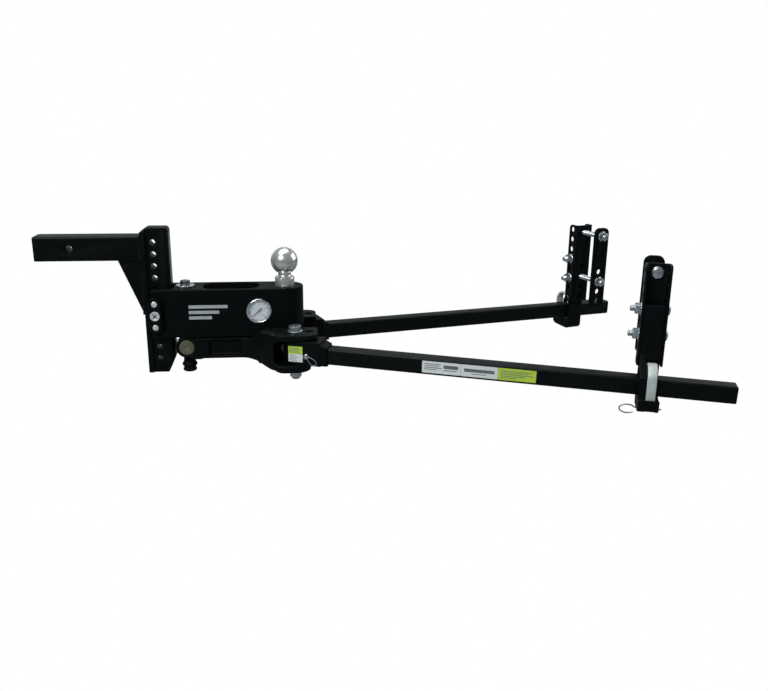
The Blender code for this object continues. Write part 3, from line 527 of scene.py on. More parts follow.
def drawbar():
    half = SHANK / 2
    body = "drawbar"
    shank = prism(rounded(-half, SHANK_Z - half, half, SHANK_Z + half, 3.5, 6), SHANK_END_X, RAIL_X - GAP, "X")
    shank = cut(shank, rod(PIN_HOLE_X, SHANK_Z, PIN_HOLE_D, -half - 5, half + 5, "Y", 48))
    add("shank_skin", soft_edges(shank, 1.2), ROOT, body, "coat", "drawbar_shank")

    low = SHANK_Z - half - GAP
    gusset = prism(
        [(GUSSET_START_X, low), (RAIL_X - GAP, low), (RAIL_X - GAP, GUSSET_END_Z)], -WEB_T / 2, WEB_T / 2, "Y"
    )
    add("gusset_skin", soft_edges(gusset, 2.0, 4), ROOT, body, "coat", "drawbar_gusset")

    flange = prism(
        rounded(-half, RAIL_BOTTOM_Z, half, RAIL_TOP_Z - 2, (3, 3, 7, 7)), RAIL_X, RAIL_X + FLANGE_T, "X"
    )
    web = prism(rounded(RAIL_X + 2, -WEB_T / 2, WEB_END_X, WEB_T / 2, (0, 8, 8, 0)), RAIL_BOTTOM_Z, RAIL_TOP_Z)
    corner = [(WEB_END_X - 16, RAIL_BOTTOM_Z - 1), (WEB_END_X + 5, RAIL_BOTTOM_Z - 1),
              (WEB_END_X + 5, RAIL_BOTTOM_Z + 45)]
    top = arc(WEB_END_X - 9, RAIL_TOP_Z - 9, 9, 0, 90, 12) + [(WEB_END_X + 5, RAIL_TOP_Z + 5)]
    front = [(RAIL_X - 1, RAIL_TOP_Z + 1), (RAIL_X + 14, RAIL_TOP_Z + 1), (RAIL_X - 1, RAIL_TOP_Z - 9)]
    rail = cut(
        join(flange, web), prism(corner, -half, half, "Y"), prism(top, -half, half, "Y"),
        prism(front, -half - 5, half + 5, "Y"),
        holes([(HOLE_COLUMN_X, TOP_HOLE_Z - i * HOLE_PITCH) for i in range(RAIL_HOLES)], RAIL_HOLE_D, -40, 40, "Y"),
    )
    add("rail_skin", soft_edges(rail, 1.2), ROOT, body, "coat", "drawbar_rail")

    x, edge = RAIL_X - 1.6, half - 1.0
    around = [(x, -edge, low + 2), (x, -edge, SHANK_Z + edge), (x, edge, SHANK_Z + edge), (x, edge, low + 2)]
    welds = [bead(around)]
    for side in (-1, 1):
        y = side * (WEB_T / 2 + 0.2)
        welds.append(bead([(GUSSET_START_X + 4, y, low - 1), (x, y, low - 1), (x, y, GUSSET_END_Z + 5)]))
    add("drawbar_welds", together(*welds), ROOT, body, "coat")


def ball_mount():
    body = "drawbar"
    plan = [(BODY_END_X, -BODY_HALF)] + arc(0, 0, BODY_HALF, -90, 90, 48) + [(BODY_END_X, BODY_HALF)]
    shape = soft_edges(prism(plan, BODY_BOTTOM_Z, BODY_TOP_Z), 2.2, 4)
    lug = prism(
        [(20, BODY_BOTTOM_Z + 6), (-20, BODY_BOTTOM_Z + 6)] + arc(0, PIVOT_Z, 20, 180, 360, 32), -21, 21, "Y"
    )
    shape = join(shape, lug)
    shape = cut(
        shape,
        box(BODY_END_X - 5, WEB_END_X + 3, -WEB_T / 2 - 0.5, WEB_T / 2 + 0.5, -170, -40),
        prism(rounded(-175.6, -32, -56, 32, 26, 14), -130, BODY_TOP_Z + 5),
        rod(0, 0, 53.4, -135, -80, sides=64),
        rod(0, 0, 52.4, -90, BODY_TOP_Z + 5, sides=64),
        rod(GAUGE_X, GAUGE_Z, 51.0, -BODY_HALF - 5, -17.5, "Y", 64),
        prism(stadium(HOLE_COLUMN_X, LOWER_PIN_Z, UPPER_PIN_Z, 21.5), -BODY_HALF - 5, -BODY_HALF + 3, "Y"),
        rod(BOLT_X, 0, BOLT_D + 1.4, -170, -40),
        rod(BOLT_X, 0, 33.0, -165, -136),
        rod(0, PIVOT_Z, PIVOT_D + 0.8, -30, 30, "Y"),
        holes([(HOLE_COLUMN_X, UPPER_PIN_Z), (HOLE_COLUMN_X, LOWER_PIN_Z)], RAIL_HOLE_D + 0.2, -60, 60, "Y"),
    )
    add("mount_skin", cast(shape, 1.15, 3), ROOT, body, "mount", "ball_mount_body")

    gland = turned(eased([(21.7, -66), (25.6, -66), (25.6, -53.6), (21.7, -53.6)], 0.8))
    add("gland_skin", gland, ROOT, body, "coat", "ball_gland_ring")
    bush = turned(eased([(8.7, -158), (15.8, -158), (15.8, -147), (8.7, -147)], 0.6), BOLT_X, 0)
    add("bush_skin", bush, ROOT, body, "bronze", "thrust_bush")
    washer = turned(eased([(9.2, -52.9), (20, -52.9), (20, -50.2), (9.2, -50.2)], 0.7), BOLT_X, 0)
    add("washer_skin", washer, ROOT, body, "zinc", "tension_washer")
    pin = turned(eased([(0, -52), (12.5, -52), (12.5, 52), (0, 52)], 1.2), 0, PIVOT_Z, "Y")
    add("pivot_pin_skin", pin, ROOT, body, "steel", "yoke_pivot_pin")


def gauge():
    body = "drawbar"
    spot = (GAUGE_X, GAUGE_Z, "Y")
    case = turned([(0, -18), (25, -18), (25, -39.3), (23.2, -39.3), (23, -34.8), (0, -34.8)], *spot)
    add("gauge_case_skin", case, ROOT, body, "steel", "gauge_case")
    dial = turned([(0, -35.1), (22.6, -35.1), (22.6, -36.2), (0, -36.2)], *spot)
    add("dial_skin", dial, ROOT, body, "dial", "gauge_dial")
    bezel = turned(
        eased([(22.4, -39.8), (27, -39.8), (27, -41.6), (25.4, -42.8), (23.7, -42.8), (22.4, -41.2)], 0.7), *spot
    )
    add("bezel_skin", bezel, ROOT, body, "chrome", "gauge_bezel")
    lens = turned([(0, -40.0), (22.2, -40.0), (22.2, -40.9), (0, -40.9)], *spot)
    add("lens_skin", lens, ROOT, body, "glass", "gauge_lens")

    marks = []
    for index in range(41):
        angle = math.radians(222 - 270 * index / 40)
        major = index % 5 == 0
        inner, outer, width = (16.6, 20.4, 0.60) if major else (18.6, 20.4, 0.28)
        x, z = math.cos(angle), math.sin(angle)
        corners = [(inner, -width), (outer, -width), (outer, width), (inner, width)]
        marks.append(prism([(r * x - w * z, r * z + w * x) for r, w in corners], -36.34, -36.1, "Y"))
    for ring in (20.6, 21.4):
        marks.append(turned([(ring, -36.1), (ring + 0.22, -36.1), (ring + 0.22, -36.32), (ring, -36.32)]))
        marks[-1].data.transform(Matrix.Rotation(-math.pi / 2, 4, "X"))
    for index in range(5):
        angle = math.radians(222 - 270 * index / 4)
        marks.append(number(str(index * 5), 13.6 * math.cos(angle), 13.6 * math.sin(angle), 3.6))
    marks.append(number("x100", 0, -9.5, 2.6))
    for x0, z0, x1, z1 in BODY_MARKS:
        mark = prism(rounded(x0, z0, x1, z1, 1.2, 4), -BODY_HALF - 0.12, -BODY_HALF + 0.3, "Y")
        add("body_mark_" + str(BODY_MARKS.index((x0, z0, x1, z1))), mark, ROOT, body, "screen")
    place = ROOT @ Matrix.Translation(Vector((GAUGE_X, 0, GAUGE_Z)) * MM)
    add("dial_marks", together(*marks), place, body, "ink")

    blade = [(-17.3, -0.5), (-3, -1.0), (8.5, -1.5), (8.5, 1.5), (-3, 1.0), (-17.3, 0.5)]
    needle = together(
        prism(blade, -38.3, -37.7, "Y"),
        turned([(0, -36.9), (2.4, -36.9), (2.4, -38.5), (1.9, -38.9), (0, -38.9)], 0, 0, "Y"),
    )
    needle.data.transform(Matrix.Rotation(math.radians(-42), 4, "Y"))
    add("needle_skin", needle, place, "needle", "ink", "gauge_needle")


def number(text, x, z, size):
    """Dial numeral lying on the dial's face."""
    curve = bpy.data.curves.new("numeral", "FONT")
    curve.body = text
    curve.size = size * MM
    curve.align_x = "CENTER"
    curve.align_y = "CENTER"
    curve.extrude = 0.1 * MM
    holder = bpy.data.objects.new("numeral", curve)
    bpy.context.scene.collection.objects.link(holder)
    bpy.context.view_layer.update()
    mesh = bpy.data.meshes.new_from_object(holder.evaluated_get(bpy.context.evaluated_depsgraph_get()))
    bpy.data.objects.remove(holder, do_unlink=True)
    mesh.transform(Matrix.Rotation(math.pi / 2, 4, "X"))
    mesh.transform(Matrix.Translation(Vector((x, -36.25, z)) * MM))
    shape = bpy.data.objects.new("numeral", mesh)
    bpy.context.scene.collection.objects.link(shape)
    return shape


# ------------------------------------------------------- ball, pins and lock


def ball():
    neck = 13.9
    below = 180 - math.degrees(math.asin(neck / BALL_R))
    sphere = [
        (BALL_R * math.sin(math.radians(a)), BALL_R * math.cos(math.radians(a)))
        for a in (below * (1 - i / 64) for i in range(65))
    ]
    top = [p for p in sphere if p[1] < BALL_R - 0.9]
    crown = [(7.0, BALL_R - 0.8), (6.3, BALL_R - 0.5), (0, BALL_R - 0.5)]
    collar = [
        (0, -74), (18.2, -74), (18.2, -60), (COLLAR_R, -58), (COLLAR_R, -36.4), (COLLAR_R - 0.6, -35),
        (COLLAR_R - 2.2, -34), (16.6, -33.4), (14.9, -32.4), (14.1, -30.8), (neck, -28.6),
    ]
    shape = turned(collar + top + crown, sides=96)
    shape = cut(shape, box(-40, 40, -31, -20, -50, -30), box(-40, 40, 20, 31, -50, -30))
    add("ball_skin", soft_edges(shape, 0.5, 2, 40), ROOT, "ball", "ball", "tow_ball")
    r = PISTON_R
    piston = turned(
        eased([(0, -129), (r, -129), (r, -106), (r - 3, -106), (r - 3, -101), (r, -101), (r, -80), (20, -74.3),
               (0, -74.3)], 0.5, 2)
    )
    add("piston_skin", piston, ROOT, "ball", "steel", "ball_piston")
    seal = turned(eased([(r - 2.7, -105.7), (r, -105.7), (r, -101.3), (r - 2.7, -101.3)], 1.3))
    add("seal_skin", seal, ROOT, "ball", "rubber", "piston_seal")


def locking():
    for label, z in (("upper", UPPER_PIN_Z), ("lower", LOWER_PIN_Z)):
        r = LOCKING_PIN_D / 2
        profile = [(0, 52.5), (r - 0.7, 52.5), (r, 51.8), (r, -45.6), (r - 0.4, -46.8), (r - 1.4, -47.4), (0, -47.6)]
        pin = turned(profile, HOLE_COLUMN_X, z, "Y", 48)
        add(label + "_pin_skin", pin, ROOT, "hitch_pins", "bright", label + "_hitch_pin")
    pins = [(HOLE_COLUMN_X, UPPER_PIN_Z), (HOLE_COLUMN_X, LOWER_PIN_Z)]
    handle = prism(stadium(HOLE_COLUMN_X, LOWER_PIN_Z, UPPER_PIN_Z, 15.0), 40.2, 50.5, "Y")
    handle = soft_edges(cut(handle, holes(pins, RAIL_HOLE_D, 30, 60, "Y")), 1.0)
    add("handle_skin", handle, ROOT, "hitch_pins", "coat", "pin_handle_plate")

    plate = prism(stadium(HOLE_COLUMN_X, LOWER_PIN_Z, UPPER_PIN_Z, 13.5), -46.8, -BODY_HALF + 2.7, "Y")
    plate = cut(
        plate, holes(pins, RAIL_HOLE_D, -60, -30, "Y"), rod(HOLE_COLUMN_X, LOCK_Z, 20.8, -60, -39, "Y", 48)
    )
    add("lock_skin", soft_edges(plate, 1.0), ROOT, "lock_cover", "coat", "lock_plate")
    barrel = turned(
        eased([(0, -39.5), (10, -39.5), (10, -49.2), (7.8, -49.2), (7.4, -48.6), (0, -48.6)], 0.5, 2),
        HOLE_COLUMN_X, LOCK_Z, "Y", 48,
    )
    notches = [
        (HOLE_COLUMN_X + 10.3 * math.cos(math.pi * k / 6), LOCK_Z + 10.3 * math.sin(math.pi * k / 6))
        for k in range(12)
    ]
    barrel = cut(barrel, holes(notches, 1.9, -55, -47.2, "Y", 12))
    add("barrel_skin", barrel, ROOT, "key_barrel", "bright", "lock_cylinder")
    cross = []
    for turn in (45, -45):
        bar = prism(rounded(-6.2, -0.95, 6.2, 0.95, 0.9), -48.95, -48.4, "Y")
        bar.data.transform(Matrix.Rotation(math.radians(turn), 4, "Y"))
        bar.data.transform(Matrix.Translation(Vector((HOLE_COLUMN_X, 0, LOCK_Z)) * MM))
        cross.append(bar)
    add("key_cross", together(*cross), ROOT, "key_barrel", "ink")


# ------------------------------------------------------- tension bolt, yoke


def tension():
    radius = BOLT_D / 2
    shaft = turned(
        [(0, -232), (radius, -232), (radius, -145.9), (14, -145.9), (14, -138), (radius, -138), (radius, -49.8),
         (10.3, -49.8), (10.5, -49.4), (10.5, -48.2), (10.2, -47.9), (0, -47.9)],
        BOLT_X, 0, sides=40,
    )
    head = hexagon(BOLT_X, 0, 18.4, -48.5, -40.6, turn=15, ends=(False, True))
    screw = threaded(radius, 2.0, -238, -146.5, BOLT_X, 0)
    shaft = cut(shaft, rod(BOLT_X, 0, 30, -260, -146.2, sides=48))
    add("tension_skin", together(shaft, head, screw), ROOT, "adjuster", "steel", "tension_bolt")

    nut = rod(BOLT_X, NUT_Z, NUT_D, -35.6, 35.6, "Y", 64)
    dimple = turned([(0, -40), (3.2, -40), (3.2, -35.4), (0, -33.8)], BOLT_X, NUT_Z, "Y", 24)
    nut = cut(nut, rod(BOLT_X, 0, 18.8, -210, -150), dimple)
    add("nut_skin", soft_edges(nut, 1.1), ROOT, "cross_nut", "nut", "barrel_nut")
    inner = 9.3
    boot = [
        (inner, -244), (12, -244), (14.7, -241.8), (14.8, -239), (12.6, -233.8), (16.3, -229.8), (16.3, -226.6),
        (12.6, -221.6), (12.5, -213), (10.6, -211.8), (10.6, -199), (inner, -199),
    ]
    add("boot_skin", turned(eased(boot, 2.2, 5), BOLT_X, 0), ROOT, "cross_nut", "rubber", "dust_boot")


def yoke():
    boss = rod(BOLT_X, NUT_Z, 47, -YOKE_HALF, YOKE_HALF, "Y", 64)
    neck = box(BOLT_X + 6, -182, -YOKE_HALF, YOKE_HALF, -209.5, -163)
    beam = box(-190, -20, -YOKE_HALF, YOKE_HALF, -207, -161)
    sweep = [(-98, 35), (-86, 38), (-75, 43.5), (-65.5, 52), (-57.5, 62.5), (-50.5, 74), (-42.5, 85), (-33, 94.5)]
    flare_plan = [(x, -y) for x, y in sweep] + [(-10, -94.5), (-10, 94.5)] + sweep[::-1]
    flare_side = [
        (-110, -206.8), (-84, -207.6), (-64, -209.6), (-50, -212), (-38, -215.4), (-28, -218.8), (-18, -221),
        (-5, -221.5), (-5, -138), (-38, -138), (-50, -140.5), (-61, -146.5), (-72, -155), (-82, -160.5),
        (-110, -162),
    ]
    flare = combined(prism(flare_plan, -225, -130), [prism(flare_side, -120, 120, "Y")], "INTERSECT")
    flare = cut(flare, box(-120, 10, -BODY_HALF - 3, BODY_HALF + 3, -161, -130))
    side_recess = rounded(-166, -200, -84, -167, 5)
    shape = cut(
        join(boss, neck, beam), prism(side_recess, -YOKE_HALF - 5, -29, "Y"), prism(side_recess, 29, YOKE_HALF + 5, "Y")
    )
    shape = join(shape, flare, box(-60, 32, -CAVITY_Y, CAVITY_Y, -216, -166))
    for side in (-1, 1):
        def flipped(tool):
            if side < 0:
                tool.data.transform(Matrix.Scale(-1, 4, (0, 1, 0)))
                tool.data.flip_normals()
            return tool

        ear = prism(rounded(EAR_X[0], EAR_Z[0], EAR_X[1], EAR_Z[1], (34, 0, 0, 22), 14), *EAR_Y, "Y")
        keep = prism(rounded(EAR_X[0] - 1, 0, EAR_X[1], EAR_Y[1], (0, 0, 20, EAR_CORNER), 16), -230, -125)
        outside = cut(box(-60, 90, 20, 140, -228, -130), keep)
        round_end = [(SWING_X, 46), (90, 46), (90, 130), (SWING_X, 130)]
        lower = prism(round_end + arc(SWING_X, SWING_Y, 33, 90, -90, 28)[:-1], -228, -190)
        shape = join(shape, cut(flipped(ear), flipped(outside), flipped(lower)))
    for side in (-1, 1):
        cavity = prism(
            rounded(CAVITY_X, CAVITY_Z[0], 90, CAVITY_Z[1], (12, 0, 0, 12)),
            *sorted((side * CAVITY_Y, side * 140)), "Y",
        )
        shape = cut(
            shape, cavity, rod(SWING_X, side * SWING_Y, TRUNNION_BOLT_D + 0.8, -230, -120),
            rod(50, side * 77, 17, -155, -130),
        )
    shape = cut(
        shape, prism(rounded(-168, -21, -45, 21, 8), -199, -140), box(-24, 24, -21.6, 21.6, -220, -140),
        rod(0, PIVOT_Z, PIVOT_D + 0.8, -60, 60, "Y"), rod(BOLT_X, NUT_Z, NUT_D + 0.8, -60, 60, "Y", 64),
        prism(rounded(BOLT_X - 14, -11.2, BOLT_X + 14, 11.2, 5), -215, -150),
    )
    add("yoke_skin", cast(shape, 1.5, 14), ROOT, "rocker", "cast", "yoke")
    nipple = turned(
        eased([(0, -3), (3.4, -3), (3.4, 1.2), (2.0, 1.8), (1.5, 3.6), (2.2, 4.6), (2.2, 5.8), (1.2, 6.8), (0, 6.8)],
              0.3, 2), sides=20,
    )
    nipple.data.transform(Matrix.Rotation(math.radians(-50), 4, "Y"))
    nipple.data.transform(Matrix.Translation(Vector((-231.5, -31, -166.5)) * MM))
    add("grease_nipple", nipple, ROOT, "rocker", "zinc")

    for label, side in (("near", -1), ("far", 1)):
        y = side * SWING_Y
        radius = TRUNNION_BOLT_D / 2
        shaft = turned(
            eased([(0, -219), (radius, -219), (radius, -137.7), (16, -137.7), (16, -135.4), (12.4, -134.4),
                   (0, -134.4)], 0.5, 2), SWING_X, y, sides=48,
        )
        head = hexagon(SWING_X, y, TRUNNION_HEX, -135, -124.5, turn=10, ends=(False, True))
        screw = threaded(radius, 2.5, -242, -218.5, SWING_X, y)
        bolt = together(shaft, head, screw)
        add(label + "_trunnion_bolt_skin", bolt, ROOT, "rocker", "zinc", label + "_trunnion_bolt")
        nut = hexagon(SWING_X, y, TRUNNION_HEX, -237, EAR_Z[0] - GAP, turn=25)
        nut = cut(nut, rod(SWING_X, y, TRUNNION_BOLT_D + 0.4, -240, -210))
        add(label + "_trunnion_nut_skin", nut, ROOT, "rocker", "zinc", label + "_trunnion_nut")


# -------------------------------------------------------------- spring bars


def swing_place(side):
    spot = Matrix.Translation(Vector((SWING_X, side * SWING_Y, BAR_Z)) * MM)
    return ROOT @ spot @ Matrix.Rotation(side * SPLAY, 4, "Z")


def bar(label, side):
    place = swing_place(side)
    body = label + "_bar"
    tilt = Matrix.Rotation(DROOP, 4, "Y")
    low, high = CAVITY_Z[0] + 0.4 - BAR_Z, CAVITY_Z[1] - 0.4 - BAR_Z
    plan = [(BLOCK_END, BLOCK_HALF)] + arc(0, 0, BLOCK_HALF, 90, 270, 40) + [(BLOCK_END, -BLOCK_HALF)]
    drop = -COLLAR_END * DROOP
    collar = hull(
        [(BLOCK_END - 1, y, z) for y in (-BLOCK_HALF + 0.5, BLOCK_HALF - 0.5) for z in (low + 0.5, high - 6)]
        + [(COLLAR_END, y, z) for y in (-20.5, 20.5) for z in (drop - 20.5, drop + 20.5)]
    )
    block = join(prism(plan, low, high), collar)
    socket = box(BAR_START - 0.5, 120, -BAR / 2 - 0.3, BAR / 2 + 0.3, -BAR / 2 - 0.3, BAR / 2 + 0.3)
    socket.data.transform(tilt)
    block = cut(
        block, socket, rod(0, 0, TRUNNION_BOLT_D + 1.0, -40, 50),
        rod(LOCK_PIN_S, 0, 8.8, *sorted((0, side * 40)), "Y"),
    )
    add(label + "_block_skin", cast(block, 1.1, 4), place, body, "cast", label + "_trunnion_block")

    shape = prism(rounded(-BAR / 2, -BAR / 2, BAR / 2, BAR / 2, 4.5, 8), BAR_START, BAR_END, "X")
    shape = soft_edges(shape, 2.6, 4)
    shape.data.transform(tilt)
    shape = cut(shape, rod(LOCK_PIN_S, 0, 8.8, *sorted((side * 9, side * 40)), "Y"))
    add(label + "_bar_skin", shape, place, body, "bar", label + "_spring_bar")

    profile = [
        (0, 9.6), (3.2, 9.6), (4, 10.6), (4, 25.8), (4.6, 25.9), (5.6, 26.8), (5.6, 31.2), (5.2, 32.2), (4.2, 32.8),
        (0, 32.8),
    ]
    pin = turned([(r, side * h) for r, h in profile], LOCK_PIN_S, 0, "Y", 32)
    turn = math.radians(-40)
    loop = []
    for i in range(56):
        t = 2 * math.pi * i / 56
        u = 13.5 * (1 - math.cos(t))
        v = 7.8 * math.sin(t) * math.sin(t / 2)
        loop.append((
            LOCK_PIN_S + u * math.cos(turn) - v * math.sin(turn), side * 29.0,
            u * math.sin(turn) + v * math.cos(turn),
        ))
    pin = together(pin, wire(loop, 1.8, closed=True))
    add(label + "_lock_pin_skin", pin, place, label + "_pin", "zinc", label + "_bar_lock_pin")


def labels():
    """Plain coloured panels with blank lines where printed labels stick to the near bar and block."""
    place = swing_place(-1)
    face = -BAR / 2
    tilt = Matrix.Rotation(DROOP, 4, "Y")

    def panel(s0, s1, z0, z1, depth, tone, name, level=face, tilted=True):
        shape = prism(rounded(s0, z0, s1, z1, min(1.5, (z1 - z0) * 0.45), 4), level - depth, level + 0.05, "Y")
        if tilted:
            shape.data.transform(tilt)
        return add(name, shape, place, "near_bar", tone)

    panel(277.7, 356.9, -12.6, 12.6, 0.14, "white", "label_one")
    panel(357.3, 432.6, -12.6, 12.6, 0.14, "white", "label_two")
    panel(433.0, 509.2, -12.6, 12.6, 0.14, "lime", "label_three")
    rows = [
        (282, 316, 6.0, 7.6), (282, 312, 2.2, 3.8), (282, 318, -1.6, 0.0), (282, 308, -5.4, -3.8),
        (322, 352, -1.0, 6.6), (322, 350, -5.4, -3.8), (364, 426, -2.6, 4.4), (380, 410, -7.0, -5.6),
        (438, 500, 6.0, 7.4), (438, 494, 2.4, 3.8), (438, 503, -1.2, 0.2), (438, 488, -4.8, -3.4),
        (438, 470, -8.4, -7.0),
    ]
    for index, (s0, s1, z0, z1) in enumerate(rows):
        panel(s0, s1, z0, z1, 0.20, "print", "label_line_" + str(index))

    def wrapped(s0, s1, z0, z1, depth, tone, name):
        """Panel on the near face of the block, bent round its nose ahead of the trunnion bolt."""
        outline = []
        for lift in (depth, -0.05):
            row = []
            for k in range(25):
                s = s0 + (s1 - s0) * k / 24
                t = min(0.0, s) / BLOCK_HALF
                r = BLOCK_HALF + lift
                row.append((max(s, 0) + r * math.sin(t), -r * math.cos(t)))
            outline += row if lift > 0 else row[::-1]
        add(name, prism(outline, z0, z1), place, "near_bar", tone)

    wrapped(-7.8, 23.8, 3.0, 19.6, 0.16, "lime", "block_label_top")
    wrapped(-7.8, 23.8, -14.4, 2.8, 0.16, "white", "block_label_base")
    for index, (z, end) in enumerate(((16.0, 15), (13.0, 20), (10.0, 17), (7.0, 19))):
        wrapped(-5.0, end, z - 0.5, z + 0.5, 0.22, "print", "block_line_" + str(index))
    for index, (z, end) in enumerate(((-1.0, 9), (-4.5, 13), (-8.0, 10), (-11.0, 12))):
        wrapped(-5.0, end, z - 0.5, z + 0.5, 0.22, "print", "block_line_" + str(index + 4))


# ---------------------------------------------------------- frame brackets


def bracket(label, side):
    s = BRACKET_S[label]
    place = swing_place(side) @ Matrix.Translation(Vector((s, 0, -s * DROOP)) * MM)
    body = label + "_bracket"

    def across(outline, low, high, axis="X"):
        """Outline in (e, z) or (s, e), mirrored to this side."""
        if axis == "X":
            return prism([(side * e, z) for e, z in outline], low, high, "X")
        return prism([(s, side * e) for s, e in outline], low, high, "Z")

    def reach(e0, e1):
        return sorted((side * e0, side * e1))

    half, wall = CHANNEL_W / 2, CHANNEL_T
    web_e, edge_e = CHANNEL_E
    inside = 3.0
    plan = (
        [(half, edge_e)] + arc(half - 5, web_e + 5, 5, 0, -90, 10) + arc(-half + 5, web_e + 5, 5, -90, -180, 10)
        + [(-half, edge_e), (-half + wall, edge_e)]
        + arc(-half + wall + inside, web_e + wall + inside, inside, 180, 270, 6)
        + arc(half - wall - inside, web_e + wall + inside, inside, 270, 360, 6) + [(half - wall, edge_e)]
    )
    lift = BRACKET_LIFT[label]
    channel_low, channel_high = CHANNEL_Z[0] + lift, CHANNEL_Z[1] + lift
    top_hole = channel_high - 11.5
    lower_clamp, upper_clamp = CLAMP_Z[0] + lift, CLAMP_Z[1] + lift
    web_holes = [(0, z) for z in [upper_clamp] + [lower_clamp + k * HOLE_PITCH for k in (-2, -1, 0, 1)]]
    nip = arc(edge_e - 9, channel_high - 9, 9, 0, 90, 14) + [(edge_e + 3, channel_high + 3)]
    channel = cut(
        across(plan, channel_low, channel_high, "Z"), across(nip, -40, 40),
        holes([(side * -22.0, top_hole - i * HOLE_PITCH) for i in range(8)], 13.6, -40, 40, "X"),
        holes(web_holes, 13.6, *reach(-60, -20), "Y"),
    )
    add(label + "_channel_skin", soft_edges(channel, 0.7), place, body, "coat", label + "_channel")

    outline = rounded(-PLATE_W / 2, PLATE_Z[0] + lift, PLATE_W / 2, PLATE_Z[1] + lift, (6, 6, 14, 14), 12)
    plate = prism(outline, *reach(*PLATE_E), "Y")
    plate = cut(plate, holes(web_holes, 13.6, *reach(-130, -90), "Y"))
    add(label + "_plate_skin", soft_edges(plate, 1.0), place, body, "coat", label + "_clamp_plate")

    def flanged(spot, seat, away, height, axis, turn, bored=0.0):
        """Flanged hexagon standing on a seat and reaching away from it."""
        ends = (False, True) if away > 0 else (True, False)
        top = hexagon(*spot, 19, *sorted((seat + away, seat + away * height)), axis, turn, ends)
        rim = [(0, seat), (12.2, seat), (12.2, seat + away * 0.8), (10.2, seat + away * 2.4), (0, seat + away * 2.6)]
        shapes = [top, turned(eased(rim, 0.4, 2), *spot, axis, 48)]
        if bored:
            shapes = [cut(shape, rod(*spot, bored, seat - 30, seat + 30, axis)) for shape in shapes]
        return together(*shapes)

    for name, z, height in (("upper", upper_clamp, 8.0), ("lower", lower_clamp, 5.0)):
        seat = side * (web_e + wall + GAP)
        head = flanged((0, z), seat, side, height, "Y", 12)
        screw = threaded(6.25, 1.75, *sorted((seat, side * -128.0)), 0, z, "Y")
        bolt = together(head, screw)
        add(f"{label}_{name}_clamp_bolt_skin", bolt, place, body, "zinc", f"{label}_{name}_clamp_bolt")
        nut = flanged((0, z), side * (PLATE_E[0] - GAP), -side, 11, "Y", 20, 12.9)
        add(f"{label}_{name}_clamp_nut_skin", nut, place, body, "zinc", f"{label}_{name}_clamp_nut")

    wide = HANGER_W / 2
    back_e, front_e = HANGER_E
    low_z, high_z = HANGER_Z[0] + lift, HANGER_Z[1]
    inner, plate_e, bottom = -19.0, -27.0, -47.2
    hook = (
        [(plate_e, low_z + 6), (plate_e, bottom + 12)] + arc(plate_e + 12, bottom + 12, 12, 180, 270, 12)[1:]
        + [(24, bottom + 1.5)] + arc(LIP_E - 12, bottom + 14, 12, -80, 0, 12)
        + [(LIP_E, -18.9), (LIP_E - 5.7, -18.9), (LIP_E - 5.7, SHELF_TOP_Z), (inner, SHELF_TOP_Z),
           (inner, low_z + 6)]
    )
    keeper_s, keeper_half = KEEPER_S[label], 8.7
    post_span = (-wide, keeper_s - keeper_half - 1.2) if keeper_s > 0 else (keeper_s + keeper_half + 1.2, wide)
    post = across(
        [(front_e - 4, low_z + 4), (front_e - 4, low_z + 14), (front_e + 2, 53), (30, 22), (30, -26), (24, -26),
         (24, 18)], *post_span,
    )
    hanger = join(
        across([(back_e, low_z), (front_e, low_z), (front_e, high_z), (back_e, high_z)], -wide, wide),
        across(hook, -wide, wide), post,
    )
    side_z = [top_hole - i * HOLE_PITCH for i in (3, 5)]
    slot = [(CLIP_E - 3.3, bottom - 5), (CLIP_E + 3.3, bottom - 5), (CLIP_E + 3.3, -15), (CLIP_E - 3.3, -15)]
    hanger = cut(
        hanger, holes([(side * -22.0, z) for z in side_z], 13.6, -40, 40, "X"),
        rod(0, lower_clamp, 26, *reach(-36, -29.4), "Y"),
        across(slot, keeper_s - keeper_half - 0.7, keeper_s + keeper_half + 0.7),
        rod(side * CLIP_E, CLIP_Z, CLIP_D + 1.2, -40, 40, "X", 24),
    )
    add(label + "_hanger_skin", cast(hanger, 1.1, 3), place, body, "cast", label + "_hanger")

    pad = across([(inner + 0.4, SHELF_TOP_Z + GAP), (18.5, SHELF_TOP_Z + GAP), (18.5, -18.4), (inner + 0.4, -18.4)],
                 -wide + 0.5, wide - 0.5)
    add(label + "_pad_skin", soft_edges(pad, 0.6), place, body, "pad", label + "_friction_pad")

    leg_in, leg_out = CLIP_E - 2.7, CLIP_E + 2.7
    outer_r = (leg_out + 17.3) / 2
    inner_r = outer_r - (leg_out - leg_in)
    arch_e, arch_z = leg_out - outer_r, 21.2
    outline = (
        [(leg_out, CLIP_Z - 5.5)] + arc(arch_e, arch_z, outer_r, 0, 180, 40)
        + [(arch_e - outer_r, arch_z - 1.5), (arch_e - inner_r, arch_z - 1.5)]
        + arc(arch_e, arch_z, inner_r, 180, 0, 40) + [(leg_in, CLIP_Z - 5.5)]
    )
    keeper = across(outline, keeper_s - keeper_half, keeper_s + keeper_half)
    keeper = cut(keeper, rod(side * CLIP_E, CLIP_Z, CLIP_D + 1.2, -40, 40, "X", 24))
    add(label + "_keeper_skin", soft_edges(keeper, 1.0), place, body, "keeper", label + "_bar_keeper")

